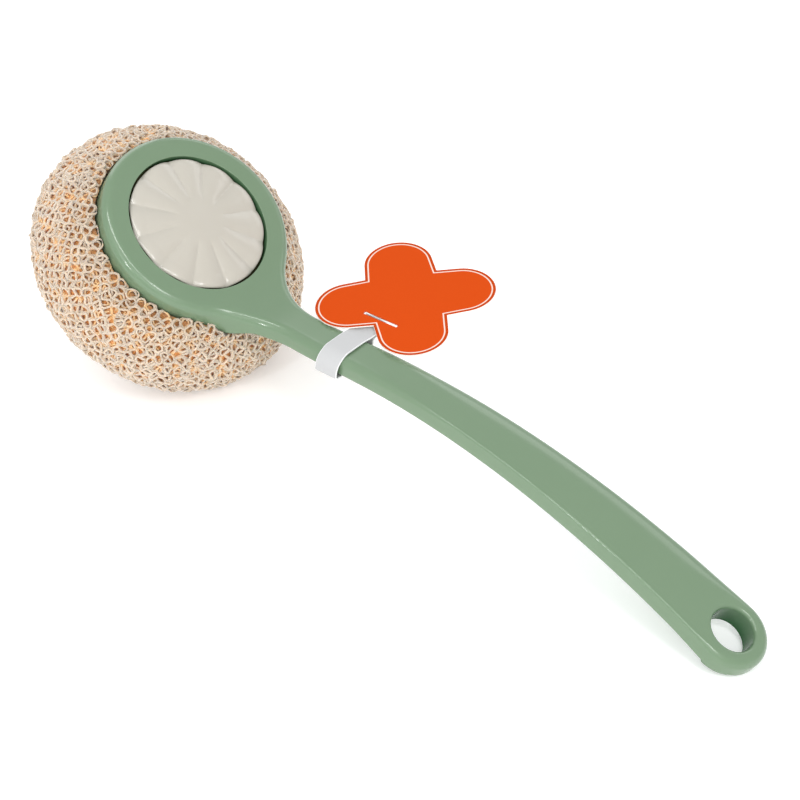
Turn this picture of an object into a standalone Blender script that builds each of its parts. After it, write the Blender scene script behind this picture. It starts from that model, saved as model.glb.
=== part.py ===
"""Long-handled dish brush with a press-to-release clamp and a knitted scrub ball.

The brush lies as on a worktop: on the underside of its ball and on the foot under the hang hole.
+Z is up, +X runs from the head to the tip of the handle, and XZ is the handle's middle plane.
The origin is the middle of the small flat on which the ball rests.

Pieces of the head are built round the head's own axis, with the top of the ring at height 0 and
heights below it negative, and hang under one empty that is tilted as the head is.
"""
import math

import bmesh
import bpy
import numpy as np
from mathutils import Matrix, Vector

MM = 0.001
GAP = 0.3 * MM

# Placing: the head leans towards the handle, and the ball is pressed flat where it rests
HEAD_TILT = math.radians(35.4)
BALL_FLAT = 0.8 * MM

# Ring at the head of the handle
HEAD_R = 32.9 * MM
HEAD_DEPTH = 10.5 * MM
HEAD_WALL = 2.2 * MM
DECK_WIDTH = 8.4 * MM
DECK_THICK = 2.8 * MM
TOP_FILLET = 3.0 * MM
BOTTOM_FILLET = 1.5 * MM

# Neck and arm: reach along X and drop below the head's centre, both of the top line
NECK_START = 21.6 * MM
DIP_REACH = 47.4 * MM
DIP_DROP = 19.0 * MM
CREST_REACH = 86.7 * MM
CREST_DROP = 17.6 * MM
HOLE_REACH = 212.6 * MM
END_SLOPE = math.radians(23.8)
NECK_HALF = 6.8 * MM
NECK_BLEND_R = 30.5 * MM
NECK_RUN_OUT = 9.0 * MM
END_HALF = 12.0 * MM
ARM_WIDENING = 1.1
ARM_WAIST = 0.3 * MM
ARM_THICK = 6.7 * MM

# Hang hole, and the foot under it on which the tip rests
HANG_HOLE_R = 7.0 * MM
HANG_RIM_R = 1.3 * MM
FOOT_INSET = 1.9 * MM
FOOT_DROP = 1.5 * MM
FOOT_FLAT = 1.1 * MM

# Release button
BUTTON_CLEARANCE = 0.4 * MM
BUTTON_SINK = 0.5 * MM
BUTTON_CROWN = 1.7 * MM
BUTTON_EDGE_R = 1.6 * MM
BUTTON_WALL = 1.9 * MM
BUTTON_FLANGE = 1.2 * MM
BUTTON_FLANGE_THICK = 1.2 * MM
BUTTON_TRAVEL = 3.4 * MM
FLUTES = 12
FLUTE_R = 1.5 * MM
FLUTE_INNER = 8.0 * MM
FLUTE_DEPTH = 0.75 * MM
SOCKET_WALL = 1.8 * MM

# Push rod, its spring and the washer under it
ROD_R = 3.0 * MM
ROD_FLANGE_R = 7.6 * MM
ROD_FLANGE_THICK = 1.0 * MM
ROD_TOP = 2.9 * MM
ROD_FLANGE_TOP = 6.8 * MM
WASHER_THICK = 0.6 * MM
SPRING_R = 5.8 * MM
SPRING_WIRE_R = 0.45 * MM
SPRING_TURNS = 4
SPRING_POINTS_PER_TURN = 14

# Base cover, with the cup that holds the spring and the collar that keeps the jaws shut
COVER_THICK = 2.4 * MM
CUP_R = 8.2 * MM
CUP_WALL = 1.8 * MM
CUP_FLOOR = 18.0 * MM
CUP_FLOOR_THICK = 2.0 * MM
ROD_CLEARANCE = 0.4 * MM
COLLAR_R = 7.2 * MM
COLLAR_WALL = 1.6 * MM
COLLAR_LENGTH = 5.0 * MM

# Screws that hold the cover
SCREWS = 4
SCREW_INSET = 5.1 * MM
BOSS_R = 2.2 * MM
SCREW_R = 1.0 * MM
SCREW_HEAD_R = 1.8 * MM
SCREW_HEAD_THICK = 1.3 * MM
SCREW_LENGTH = 6.0 * MM
SCREW_CLEARANCE = 0.3 * MM
SLOT_WIDTH = 0.7 * MM
SLOT_DEPTH = 0.6 * MM

# Jaw carrier, its screw, the jaws and their pins
JAWS = 4
CARRIER_R = 6.6 * MM
CARRIER_THICK = 3.6 * MM
CARRIER_DROP = 0.7 * MM
CARRIER_CORE = 3.7 * MM
CARRIER_SCREW_LENGTH = 10.0 * MM
PIN_RING_R = 5.2 * MM
PIN_R = 0.6 * MM
PIN_LENGTH = 6.2 * MM
PIN_DROP = 1.5 * MM
JAW_WIDTH = 4.0 * MM
JAW_CLEARANCE = 0.3 * MM
JAW_THICK = 2.0 * MM
JAW_REACH = 13.6 * MM
JAW_PAD = 5.2 * MM
JAW_PAD_THICK = 0.7 * MM
JAW_LIFT = 1.1 * MM

# Scrub ball: a flattened ball with a dish for the ring and a well for the clamp
BALL_R = 47.7 * MM
BALL_HALF_THICK = 28.3 * MM
BALL_DROP = 25.4 * MM
BALL_LIP = 1.3 * MM
BALL_LIP_WIDTH = 2.6 * MM
WELL_R = 12.5 * MM
WELL_DEPTH = 41.5 * MM
KNOT_R = 3.9 * MM
KNOT_TAPER = 0.6 * MM
KNOT_TOP_GAP = 0.6 * MM
TIE_R = 0.7 * MM

# Hang tag: a four-lobed card, and the card strap that loops round the neck
TAG_REACH = 64.9 * MM
TAG_SIDE = 29.0 * MM
TAG_DROP = 15.1 * MM
TAG_RISE_ALONG = math.radians(4.0)
TAG_RISE_ACROSS = math.radians(5.0)
LOBE_OFFSET = 12.7 * MM
LOBE_R = 11.5 * MM
NOTCH_R = 17.2 * MM
CARD_THICK = 0.5 * MM
SLIT_OFFSET = 13.2 * MM
SLIT_LENGTH = 13.8 * MM
SLIT_WIDTH = 1.4 * MM
STRAP_REACH = 63.8 * MM
STRAP_WIDTH = 8.8 * MM
STRAP_GAP = 0.5 * MM
TAB_HEIGHT = 1.4 * MM

# Smoothness of round pieces
ROUND_STEPS = 24
FINE_STEPS = 48

# Sizes that follow from the ones above
BORE_R = HEAD_R - DECK_WIDTH
BUTTON_R = BORE_R - BUTTON_CLEARANCE
CAVITY_R = HEAD_R - HEAD_WALL
SCREW_RING_R = HEAD_R - SCREW_INSET
FLANGE_TOP = -DECK_THICK - GAP
FLANGE_BOTTOM = FLANGE_TOP - BUTTON_FLANGE_THICK
COVER_TOP = FLANGE_BOTTOM - BUTTON_TRAVEL - BUTTON_CLEARANCE
COVER_BOTTOM = COVER_TOP - COVER_THICK
COLLAR_END = -CUP_FLOOR - CUP_FLOOR_THICK - COLLAR_LENGTH
CARRIER_TOP = -CUP_FLOOR - CUP_FLOOR_THICK - CARRIER_DROP
CARRIER_BOTTOM = CARRIER_TOP - CARRIER_THICK
ROD_END = CARRIER_TOP + GAP
PIN_HEIGHT = CARRIER_TOP - PIN_DROP
JAW_TIP = PIN_HEIGHT - JAW_REACH
JAW_INNER = KNOT_R + GAP
CARRIER_SCREW_HEAD_END = CARRIER_BOTTOM - GAP - SCREW_HEAD_THICK
DISH_HEIGHT = -HEAD_DEPTH - GAP
DISH_R = HEAD_R + GAP
KNOT_FOOT = -WELL_DEPTH + GAP
KNOT_TOP = CARRIER_SCREW_HEAD_END - BUTTON_TRAVEL - KNOT_TOP_GAP
BALL_REACH = math.hypot(BALL_R * math.sin(HEAD_TILT), BALL_HALF_THICK * math.cos(HEAD_TILT))
HEAD_Z = BALL_DROP * math.cos(HEAD_TILT) + BALL_REACH - BALL_FLAT
LOW_POINT_SHIFT = (BALL_R ** 2 - BALL_HALF_THICK ** 2) * math.sin(HEAD_TILT) * math.cos(HEAD_TILT) / BALL_REACH
HEAD_X = BALL_DROP * math.sin(HEAD_TILT) - LOW_POINT_SHIFT
HOLE_Z = ((ARM_THICK + FOOT_DROP) * math.cos(END_SLOPE)
          + (END_HALF - FOOT_INSET) * math.sin(END_SLOPE) - FOOT_FLAT)


def clear_scene():
    """Remove every object that the file holds."""
    for item in list(bpy.data.objects):
        bpy.data.objects.remove(item, do_unlink=True)


def make_collection(name):
    """Return a new collection linked to the scene."""
    group = bpy.data.collections.new(name)
    bpy.context.scene.collection.children.link(group)
    return group


clear_scene()
PARTS = make_collection("dish_brush")
CUTTERS = make_collection("cutters")


def material(name, color, roughness, metallic=0.0):
    """Return a Principled material of one linear colour."""
    finish = bpy.data.materials.new(name)
    finish.use_nodes = True
    shader = finish.node_tree.nodes["Principled BSDF"]
    shader.inputs["Base Color"].default_value = (*color, 1.0)
    shader.inputs["Roughness"].default_value = roughness
    shader.inputs["Metallic"].default_value = metallic
    finish.diffuse_color = (*color, 1.0)
    return finish


GREEN_PLASTIC = material("sage_green_polypropylene", (0.26, 0.38, 0.24), 0.32)
CREAM_PLASTIC = material("cream_polypropylene", (0.66, 0.61, 0.52), 0.28)
WHITE_PLASTIC = material("natural_nylon", (0.72, 0.71, 0.66), 0.45)
STEEL = material("stainless_steel", (0.62, 0.62, 0.60), 0.30, 1.0)
SPRING_STEEL = material("spring_steel", (0.45, 0.45, 0.47), 0.35, 1.0)
SCRUB_FIBRE = material("knitted_cream_fibre", (0.72, 0.57, 0.40), 0.70)
TIE_THREAD = material("white_thread", (0.80, 0.78, 0.72), 0.80)
ORANGE_CARD = material("orange_printed_card", (0.78, 0.11, 0.02), 0.45)
WHITE_CARD = material("white_card", (0.76, 0.76, 0.77), 0.55)


def place(item, parent):
    """Parent an object without any inverse, so that it stands in its parent's frame."""
    if parent is not None:
        item.parent = parent


def add_object(name, mesh, finish=None, parent=None, group=None):
    """Link a mesh as a named part, or as a cutter if it has no finish."""
    item = bpy.data.objects.new(name, mesh)
    (group or (PARTS if finish else CUTTERS)).objects.link(item)
    if finish:
        mesh.materials.clear()
        mesh.materials.append(finish)
    else:
        item.hide_render = True
        item.display_type = "WIRE"
    place(item, parent)
    return item


def smooth(mesh, angle=35):
    """Shade round faces smooth and keep edges sharper than the angle."""
    mesh.shade_smooth()
    mesh.set_sharp_from_angle(angle=math.radians(angle))


def turned(name, profile, finish=None, parent=None, steps=ROUND_STEPS, closed=False):
    """Turn a profile of (radius, height) round the parent's Z axis.

    The profile runs down its outer side. An open one starts and ends on the axis.
    """
    mesh = bpy.data.meshes.new(name)
    count = len(profile)
    edges = [(i, i + 1) for i in range(count - 1)]
    if closed:
        edges.append((count - 1, 0))
    mesh.from_pydata([(r, 0.0, z) for r, z in profile], edges, [])
    item = add_object(name, mesh, finish, parent)
    screw = item.modifiers.new("turn", "SCREW")
    screw.axis = "Z"
    screw.angle = math.tau
    screw.steps = steps
    screw.render_steps = steps
    screw.use_merge_vertices = True
    screw.merge_threshold = 0.00001
    screw.use_smooth_shade = True
    return item


def baked(item):
    """Replace a part's modifiers by the mesh that they give, and return the part."""
    graph = bpy.context.evaluated_depsgraph_get()
    mesh = bpy.data.meshes.new_from_object(item.evaluated_get(graph))
    item.modifiers.clear()
    item.data = mesh
    smooth(mesh)
    return item


def boolean(item, cutter, operation="DIFFERENCE"):
    """Cut, or join, another solid to a part with the exact solver."""
    modifier = item.modifiers.new(cutter.name, "BOOLEAN")
    modifier.operation = operation
    modifier.object = cutter
    modifier.solver = "EXACT"


def arc(center, radius, start, end, count):
    """Return points of an arc in a profile's plane, angles in degrees."""
    angles = np.radians(np.linspace(start, end, count))
    return [(center[0] + radius * math.cos(a), center[1] + radius * math.sin(a)) for a in angles]


def cylinder_mesh(name, radius, length, places, sides=16):
    """Return a mesh of equal cylinders along Z, whose tops stand at the given places."""
    mesh = bpy.data.meshes.new(name)
    shape = bmesh.new()
    for point in places:
        bmesh.ops.create_cone(
            shape, cap_ends=True, segments=sides, radius1=radius, radius2=radius, depth=length,
            matrix=Matrix.Translation(Vector(point) - Vector((0, 0, length / 2))))
    shape.to_mesh(mesh)
    shape.free()
    return mesh


def box_mesh(name, low, high):
    """Return a box mesh between two corners."""
    mesh = bpy.data.meshes.new(name)
    shape = bmesh.new()
    size = Vector(high) - Vector(low)
    middle = (Vector(high) + Vector(low)) / 2
    bmesh.ops.create_cube(shape, size=1.0, matrix=Matrix.LocRotScale(middle, None, size))
    shape.to_mesh(mesh)
    shape.free()
    return mesh


def around(count, radius, height, phase=0.0):
    """Return points spread evenly round the axis."""
    steps = [phase + math.tau * i / count for i in range(count)]
    return [(radius * math.cos(a), radius * math.sin(a), height) for a in steps]


def cubic(x, start, end):
    """Return the height on the cubic that joins two points (x, z, slope)."""
    span = end[0] - start[0]
    t = np.clip((x - start[0]) / span, 0.0, 1.0)
    return ((1 - 3 * t ** 2 + 2 * t ** 3) * start[1] + (t - 2 * t ** 2 + t ** 3) * span * start[2]
            + (3 * t ** 2 - 2 * t ** 3) * end[1] + (t ** 3 - t ** 2) * span * end[2])


def handle_line():
    """Sample the handle's top line in the world's XZ plane.

    It is straight over the head, dips at the neck, rises to a crest and falls to the hang hole.
    Returns the distance along it from the head's centre, x, z and slope angle.
    """
    tilt = math.tan(HEAD_TILT)
    neck_x = NECK_START * math.cos(HEAD_TILT)
    stations = [(neck_x, -neck_x * tilt, -tilt),
                (DIP_REACH, -DIP_DROP, 0.0),
                (CREST_REACH, -CREST_DROP, 0.0),
                (HOLE_REACH, HOLE_Z - HEAD_Z, -math.tan(END_SLOPE))]
    x = np.linspace(-HEAD_R, HOLE_REACH + 2 * END_HALF, 2400)
    z = -x * tilt
    for start, end in zip(stations, stations[1:]):
        z = np.where(x > start[0], cubic(x, start, end), z)
    z = np.where(x > HOLE_REACH, stations[-1][1] + (x - HOLE_REACH) * stations[-1][2], z)
    steps = np.hypot(np.diff(x), np.diff(z))
    along = np.concatenate([[0.0], np.cumsum(steps)])
    along -= np.interp(0.0, x, along)
    return along, x + HEAD_X, z + HEAD_Z, np.arctan2(np.gradient(z), np.gradient(x))


LINE = handle_line()
HOLE_ALONG = float(np.interp(HOLE_REACH + HEAD_X, LINE[1], LINE[0]))
STRAP_ALONG = float(np.interp(STRAP_REACH + HEAD_X, LINE[1], LINE[0]))
NECK_ALONG = math.sqrt((HEAD_R + NECK_BLEND_R) ** 2 - (NECK_HALF + NECK_BLEND_R) ** 2)


def on_handle(along, across, above):
    """Carry points of the flattened handle to the world: along, across and above its top line."""
    x = np.interp(along, LINE[0], LINE[1])
    z = np.interp(along, LINE[0], LINE[2])
    slope = np.interp(along, LINE[0], LINE[3])
    return np.stack([x - above * np.sin(slope), across + 0 * x, z + above * np.cos(slope)], axis=-1)


def arm_half(along):
    """Return the arm's half width, which grows from the neck to the tip."""
    share = np.clip((along - NECK_ALONG) / (HOLE_ALONG - NECK_ALONG), 0.0, 1.0)
    waist = 4 * ARM_WAIST * share * (1 - share)
    return NECK_HALF + (END_HALF - NECK_HALF) * share ** ARM_WIDENING - waist


def handle_outline():
    """Return one side of the flattened outline: points (along, across) and outward normals.

    It is an arc of the ring, a hollow arc into the neck, the arm's side and the round tip.
    """
    turn = math.atan2(NECK_HALF + NECK_BLEND_R, NECK_ALONG)
    ring = np.linspace(math.pi, turn, 26)
    ring_n = np.stack([np.cos(ring), np.sin(ring)], axis=1)
    hollow = np.linspace(turn + math.pi, 1.5 * math.pi, 9)[1:]
    hollow_n = -np.stack([np.cos(hollow), np.sin(hollow)], axis=1)
    middle = np.array([NECK_ALONG, NECK_HALF + NECK_BLEND_R])
    side = np.linspace(NECK_ALONG, HOLE_ALONG, 22)[1:-1]
    rise = np.gradient(arm_half(side), side)
    side_n = np.stack([-rise, np.ones_like(rise)], axis=1) / np.hypot(rise, 1.0)[:, None]
    tip = np.linspace(math.pi / 2, 0.0, 11)
    tip_n = np.stack([np.cos(tip), np.sin(tip)], axis=1)
    points = np.concatenate([ring_n * HEAD_R, middle - hollow_n * NECK_BLEND_R,
                             np.stack([side, arm_half(side)], axis=1),
                             np.array([HOLE_ALONG, 0.0]) + tip_n * END_HALF])
    return points, np.concatenate([ring_n, hollow_n, side_n, tip_n])


def handle_section():
    """Return the rounded edge as (inset, rise, sink): rise is up from the underside, sink down."""
    low = [(BOTTOM_FILLET * (1 - math.cos(a)), BOTTOM_FILLET * (1 - math.sin(a)), None)
           for a in np.radians([90, 45, 0])]
    high = [(TOP_FILLET * (1 - math.cos(a)), None, TOP_FILLET * (1 - math.sin(a)))
            for a in np.radians([0, 22.5, 45, 67.5, 90])]
    return low + high


def smoothstep(value, low, high):
    """Ease from 0 to 1 between two values."""
    t = np.clip((value - low) / (high - low), 0.0, 1.0)
    return t * t * (3 - 2 * t)


def handle_body_mesh():
    """Loft the whole handle: each station is a loop round the section, bent along the top line."""
    points, normals = handle_outline()
    depth = HEAD_DEPTH + (ARM_THICK - HEAD_DEPTH) * smoothstep(
        points[:, 0], CAVITY_R, CAVITY_R + NECK_RUN_OUT)
    loop = []
    for inset, rise, sink in handle_section():
        edge = points - normals * inset
        height = -sink if rise is None else rise - depth
        loop.append((edge[:, 0], edge[:, 1], np.broadcast_to(height, depth.shape)))
    sides = [(a, -b, c) for a, b, c in loop] + [(a, b, c) for a, b, c in reversed(loop)]
    rings = np.stack([on_handle(a, b, c) for a, b, c in sides], axis=1)
    stations, round_count = rings.shape[:2]
    shape = bmesh.new()
    verts = [shape.verts.new(p) for p in rings.reshape(-1, 3)]
    for i in range(stations - 1):
        for j in range(round_count):
            k = (j + 1) % round_count
            shape.faces.new([verts[i * round_count + j], verts[i * round_count + k],
                             verts[(i + 1) * round_count + k], verts[(i + 1) * round_count + j]])
    bmesh.ops.remove_doubles(shape, verts=shape.verts, dist=0.00001)
    bmesh.ops.recalc_face_normals(shape, faces=shape.faces)
    mesh = bpy.data.meshes.new("handle")
    shape.to_mesh(mesh)
    shape.free()
    return mesh


def hole_frame():
    """Return the matrix that stands on the handle's top at the hang hole, Z out of its face."""
    center = on_handle(np.array(HOLE_ALONG), np.array(0.0), np.array(0.0))
    slope = float(np.interp(HOLE_ALONG, LINE[0], LINE[3]))
    return Matrix.Translation(Vector(center)) @ Matrix.Rotation(-slope, 4, "Y")


def floor_cutter():
    """Return the box below the worktop."""
    return add_object("below_worktop", box_mesh("below_worktop", (-0.2, -0.2, -0.05), (0.4, 0.2, 0.0)))


def build_handle(head, floor):
    """Build the moulded handle: ring, neck, arm, screw bosses, hang hole and its foot."""
    handle = add_object("handle", handle_body_mesh(), GREEN_PLASTIC)
    foot = add_object("foot_block", cylinder_mesh(
        "foot_block", END_HALF - FOOT_INSET, ARM_THICK / 2 + FOOT_DROP, [(0, 0, -ARM_THICK / 2)], 40))
    foot.matrix_world = hole_frame()
    boolean(handle, foot, "UNION")
    cavity = add_object("cavity", cylinder_mesh(
        "cavity", CAVITY_R, 2 * HEAD_DEPTH, [(0, 0, -DECK_THICK)], FINE_STEPS), parent=head)
    boolean(handle, cavity)
    bore = add_object("bore", cylinder_mesh(
        "bore", BORE_R, 2 * DECK_THICK, [(0, 0, DECK_THICK / 2)], FINE_STEPS), parent=head)
    boolean(handle, bore)
    phase = math.pi / SCREWS
    boss_bottom = COVER_TOP + GAP
    bosses = add_object("bosses", cylinder_mesh(
        "bosses", BOSS_R, -DECK_THICK / 2 - boss_bottom,
        around(SCREWS, SCREW_RING_R, -DECK_THICK / 2, phase)), parent=head)
    boolean(handle, bosses, "UNION")
    pilot_top = COVER_BOTTOM + SCREW_LENGTH + GAP
    pilots = add_object("pilots", cylinder_mesh(
        "pilots", SCREW_R + SCREW_CLEARANCE, pilot_top - boss_bottom + GAP,
        around(SCREWS, SCREW_RING_R, pilot_top, phase), 12), parent=head)
    boolean(handle, pilots)
    rim = arc((HANG_HOLE_R + HANG_RIM_R, -HANG_RIM_R), HANG_RIM_R, 90, 180, 5)
    through = -ARM_THICK - 2 * FOOT_DROP
    hole = turned("hang_hole", [(0.0, HANG_RIM_R), (HANG_HOLE_R + HANG_RIM_R, HANG_RIM_R)]
                  + rim + [(HANG_HOLE_R, through), (0.0, through)])
    hole.matrix_world = hole_frame()
    boolean(handle, hole)
    boolean(handle, floor)
    return baked(handle)


def crown_height(radius):
    """Return the height of the button's crowned top, a shallow part of a ball."""
    crown_r = (BUTTON_R ** 2 + BUTTON_CROWN ** 2) / (2 * BUTTON_CROWN)
    return BUTTON_CROWN - BUTTON_SINK - crown_r + math.sqrt(crown_r ** 2 - radius ** 2)


def button_profile():
    """Return the button's section: crowned cap, skirt with a holding flange, socket for the rod."""
    top = -BUTTON_SINK
    crown = [(r, crown_height(r))
             for r in np.linspace(0.0, BUTTON_R - BUTTON_EDGE_R, 6)]
    shoulder = crown[-1][1]
    edge = arc((BUTTON_R - BUTTON_EDGE_R, shoulder - BUTTON_EDGE_R), BUTTON_EDGE_R, 70, 0, 3)
    inner = BUTTON_R - BUTTON_WALL
    under = top - BUTTON_WALL
    socket_r = ROD_R + GAP
    socket_end = -ROD_FLANGE_TOP + GAP
    return crown + edge + [
        (BUTTON_R, FLANGE_TOP), (BUTTON_R + BUTTON_FLANGE, FLANGE_TOP),
        (BUTTON_R + BUTTON_FLANGE, FLANGE_BOTTOM), (inner, FLANGE_BOTTOM), (inner, under),
        (socket_r + SOCKET_WALL, under), (socket_r + SOCKET_WALL, socket_end),
        (socket_r, socket_end), (socket_r, under), (0.0, under)]


def flute_cutters(head):
    """Return slim cones whose undersides run from the crown's middle to below its rim."""
    mesh = bpy.data.meshes.new("flutes")
    shape = bmesh.new()
    slim = FLUTE_R * 0.4
    inner = Vector((FLUTE_INNER, 0.0, crown_height(FLUTE_INNER) + slim))
    outer = Vector((BUTTON_R, 0.0, crown_height(BUTTON_R) - FLUTE_DEPTH + FLUTE_R))
    run = outer - inner
    outer += run.normalized() * FLUTE_R
    run = outer - inner
    lie = Vector((0.0, 0.0, 1.0)).rotation_difference(run).to_matrix().to_4x4()
    for i in range(FLUTES):
        turn = Matrix.Rotation(math.tau * (i + 0.5) / FLUTES, 4, "Z")
        middle = Matrix.Translation((inner + outer) / 2)
        bmesh.ops.create_cone(shape, cap_ends=True, segments=12, radius1=slim, radius2=FLUTE_R,
                              depth=run.length, matrix=turn @ middle @ lie)
    shape.to_mesh(mesh)
    shape.free()
    return add_object("flutes", mesh, parent=head)


def build_button(head):
    """Build the fluted release button."""
    button = turned("release_button", button_profile(), CREAM_PLASTIC, head, FLUTES * 4)
    boolean(button, flute_cutters(head))
    return baked(button)


def build_rod(head):
    """Build the push rod with the flange that the spring lifts and a bore for the carrier's screw."""
    bore = SCREW_R + SCREW_CLEARANCE
    bore_top = CARRIER_BOTTOM + CARRIER_SCREW_LENGTH + GAP
    return turned("push_rod", [
        (0.0, -ROD_TOP), (ROD_R, -ROD_TOP), (ROD_R, -ROD_FLANGE_TOP),
        (ROD_FLANGE_R, -ROD_FLANGE_TOP), (ROD_FLANGE_R, -ROD_FLANGE_TOP - ROD_FLANGE_THICK),
        (ROD_R, -ROD_FLANGE_TOP - ROD_FLANGE_THICK), (ROD_R, ROD_END), (bore, ROD_END),
        (bore, bore_top), (0.0, bore_top)], WHITE_PLASTIC, head)


def build_cover(head):
    """Build the cover that closes the ring, with the spring's cup and the jaws' collar."""
    plate_r = CAVITY_R - GAP
    outer = CUP_R + CUP_WALL
    floor_top = -CUP_FLOOR
    floor_under = -CUP_FLOOR - CUP_FLOOR_THICK
    profile = [
        (plate_r, COVER_TOP), (plate_r, COVER_BOTTOM), (outer, COVER_BOTTOM), (outer, floor_under),
        (COLLAR_R + COLLAR_WALL, floor_under - CUP_WALL / 2), (COLLAR_R + COLLAR_WALL, COLLAR_END),
        (COLLAR_R + GAP, COLLAR_END), (COLLAR_R, COLLAR_END + 2 * GAP), (COLLAR_R, floor_under),
        (ROD_R + ROD_CLEARANCE, floor_under), (ROD_R + ROD_CLEARANCE, floor_top),
        (CUP_R, floor_top), (CUP_R, COVER_TOP)]
    cover = turned("base_cover", profile, GREEN_PLASTIC, head, FINE_STEPS, closed=True)
    phase = math.pi / SCREWS
    holes = add_object("cover_holes", cylinder_mesh(
        "cover_holes", SCREW_R + SCREW_CLEARANCE, 2 * COVER_THICK,
        around(SCREWS, SCREW_RING_R, COVER_TOP + COVER_THICK / 2, phase)), parent=head)
    boolean(cover, holes)
    sinks = add_object("cover_sinks", cylinder_mesh(
        "cover_sinks", SCREW_HEAD_R + SCREW_CLEARANCE, 2 * SCREW_HEAD_THICK,
        around(SCREWS, SCREW_RING_R, COVER_BOTTOM + SCREW_HEAD_THICK + GAP, phase)), parent=head)
    boolean(cover, sinks)
    return baked(cover)


def screw_mesh(name, length):
    """Return a slotted pan screw that points up, with the bearing face of its head at height 0."""
    profile = [(0.0, length), (SCREW_R * 0.4, length), (SCREW_R, length - SCREW_R),
               (SCREW_R, 0.0), (SCREW_HEAD_R, 0.0), (SCREW_HEAD_R, -SCREW_HEAD_THICK * 0.6),
               (SCREW_HEAD_R * 0.7, -SCREW_HEAD_THICK), (0.0, -SCREW_HEAD_THICK)]
    screw = turned(name, profile, STEEL, None, 16)
    reach = 2 * SCREW_HEAD_R
    slot = add_object(name + "_slot", box_mesh(
        name + "_slot", (-reach, -SLOT_WIDTH / 2, -2 * SCREW_HEAD_THICK),
        (reach, SLOT_WIDTH / 2, -SCREW_HEAD_THICK + SLOT_DEPTH)))
    boolean(screw, slot)
    baked(screw)
    mesh = screw.data
    bpy.data.objects.remove(screw, do_unlink=True)
    bpy.data.objects.remove(slot, do_unlink=True)
    return mesh


def build_screws(head):
    """Build the cover's screws and the one that holds the carrier to the rod."""
    mesh = screw_mesh("cover_screw_body", SCREW_LENGTH - SCREW_HEAD_THICK)
    seats = around(SCREWS, SCREW_RING_R, COVER_BOTTOM + SCREW_HEAD_THICK, math.pi / SCREWS)
    for number, seat in enumerate(seats, 1):
        screw = add_object(f"cover_screw_{number}", mesh, STEEL, head)
        screw.location = seat
    mesh = screw_mesh("carrier_screw", CARRIER_SCREW_LENGTH + GAP)
    screw = add_object("carrier_screw", mesh, STEEL, head)
    screw.location = (0, 0, CARRIER_BOTTOM - GAP)


def build_washer(head):
    """Build the steel washer on the cup's floor."""
    top = -CUP_FLOOR + GAP + WASHER_THICK
    inner = ROD_R + ROD_CLEARANCE
    outer = CUP_R - 2 * GAP
    return turned("spring_washer", [(outer, top), (outer, top - WASHER_THICK),
                                    (inner, top - WASHER_THICK), (inner, top)],
                  STEEL, head, closed=True)


def build_spring(head):
    """Wind the return spring between the washer and the rod's flange."""
    bottom = -CUP_FLOOR + GAP + WASHER_THICK + GAP + SPRING_WIRE_R
    top = -ROD_FLANGE_TOP - ROD_FLANGE_THICK - GAP - SPRING_WIRE_R
    count = SPRING_TURNS * SPRING_POINTS_PER_TURN + 1
    angle = np.linspace(0.0, math.tau * SPRING_TURNS, count)
    height = np.linspace(bottom, top, count)
    curve = bpy.data.curves.new("return_spring", "CURVE")
    curve.dimensions = "3D"
    curve.bevel_depth = SPRING_WIRE_R
    curve.bevel_resolution = 2
    curve.use_fill_caps = True
    spline = curve.splines.new("POLY")
    spline.points.add(count - 1)
    for point, a, h in zip(spline.points, angle, height):
        point.co = (SPRING_R * math.cos(a), SPRING_R * math.sin(a), h, 1.0)
    spring = as_mesh(add_object("return_spring", curve, SPRING_STEEL, head))
    gap = (top - bottom) / SPRING_TURNS - 2 * SPRING_WIRE_R
    print(f"return_spring: least gap between turns {gap / MM:.2f} mm")
    return spring


def as_mesh(item):
    """Replace a curve object by a mesh object with welded caps, in the same place."""
    graph = bpy.context.evaluated_depsgraph_get()
    mesh = bpy.data.meshes.new_from_object(item.evaluated_get(graph))
    shape = bmesh.new()
    shape.from_mesh(mesh)
    bmesh.ops.remove_doubles(shape, verts=shape.verts, dist=0.00001)
    bmesh.ops.recalc_face_normals(shape, faces=shape.faces)
    shape.to_mesh(mesh)
    shape.free()
    smooth(mesh, 50)
    name = item.name
    solid = bpy.data.objects.new(name + "_solid", mesh)
    PARTS.objects.link(solid)
    solid.parent = item.parent
    solid.matrix_local = item.matrix_local.copy()
    bpy.data.objects.remove(item, do_unlink=True)
    solid.name = name
    return solid


def jaw_angles():
    """Return the direction of each jaw round the head's axis."""
    return [math.tau * (i + 0.5) / JAWS for i in range(JAWS)]


def build_carrier(head):
    """Build the carrier: a disc with a slot for each jaw and a cross hole for each pin."""
    carrier = turned("jaw_carrier", [
        (CARRIER_R, CARRIER_TOP), (CARRIER_R, CARRIER_BOTTOM),
        (SCREW_R + SCREW_CLEARANCE, CARRIER_BOTTOM), (SCREW_R + SCREW_CLEARANCE, CARRIER_TOP)],
        WHITE_PLASTIC, head, closed=True)
    half = JAW_WIDTH / 2 + JAW_CLEARANCE
    for number, angle in enumerate(jaw_angles(), 1):
        slot = add_object(f"slot_{number}", box_mesh(
            f"slot_{number}", (CARRIER_CORE, -half, CARRIER_BOTTOM - GAP),
            (2 * CARRIER_R, half, CARRIER_TOP + GAP)), parent=head)
        slot.rotation_euler = (0, 0, angle)
        boolean(carrier, slot)
        hole = add_object(f"pin_hole_{number}", cylinder_mesh(
            f"pin_hole_{number}", PIN_R + GAP, 2 * CARRIER_R, [(0, 0, CARRIER_R)], 12), parent=head)
        hole.location = (PIN_RING_R * math.cos(angle), PIN_RING_R * math.sin(angle), PIN_HEIGHT)
        hole.rotation_euler = (math.pi / 2, 0, angle)
        trim = hole.modifiers.new("trim", "BOOLEAN")
        trim.operation = "INTERSECT"
        trim.object = pin_window(head, number, angle)
        boolean(carrier, hole)
    return baked(carrier)


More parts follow.
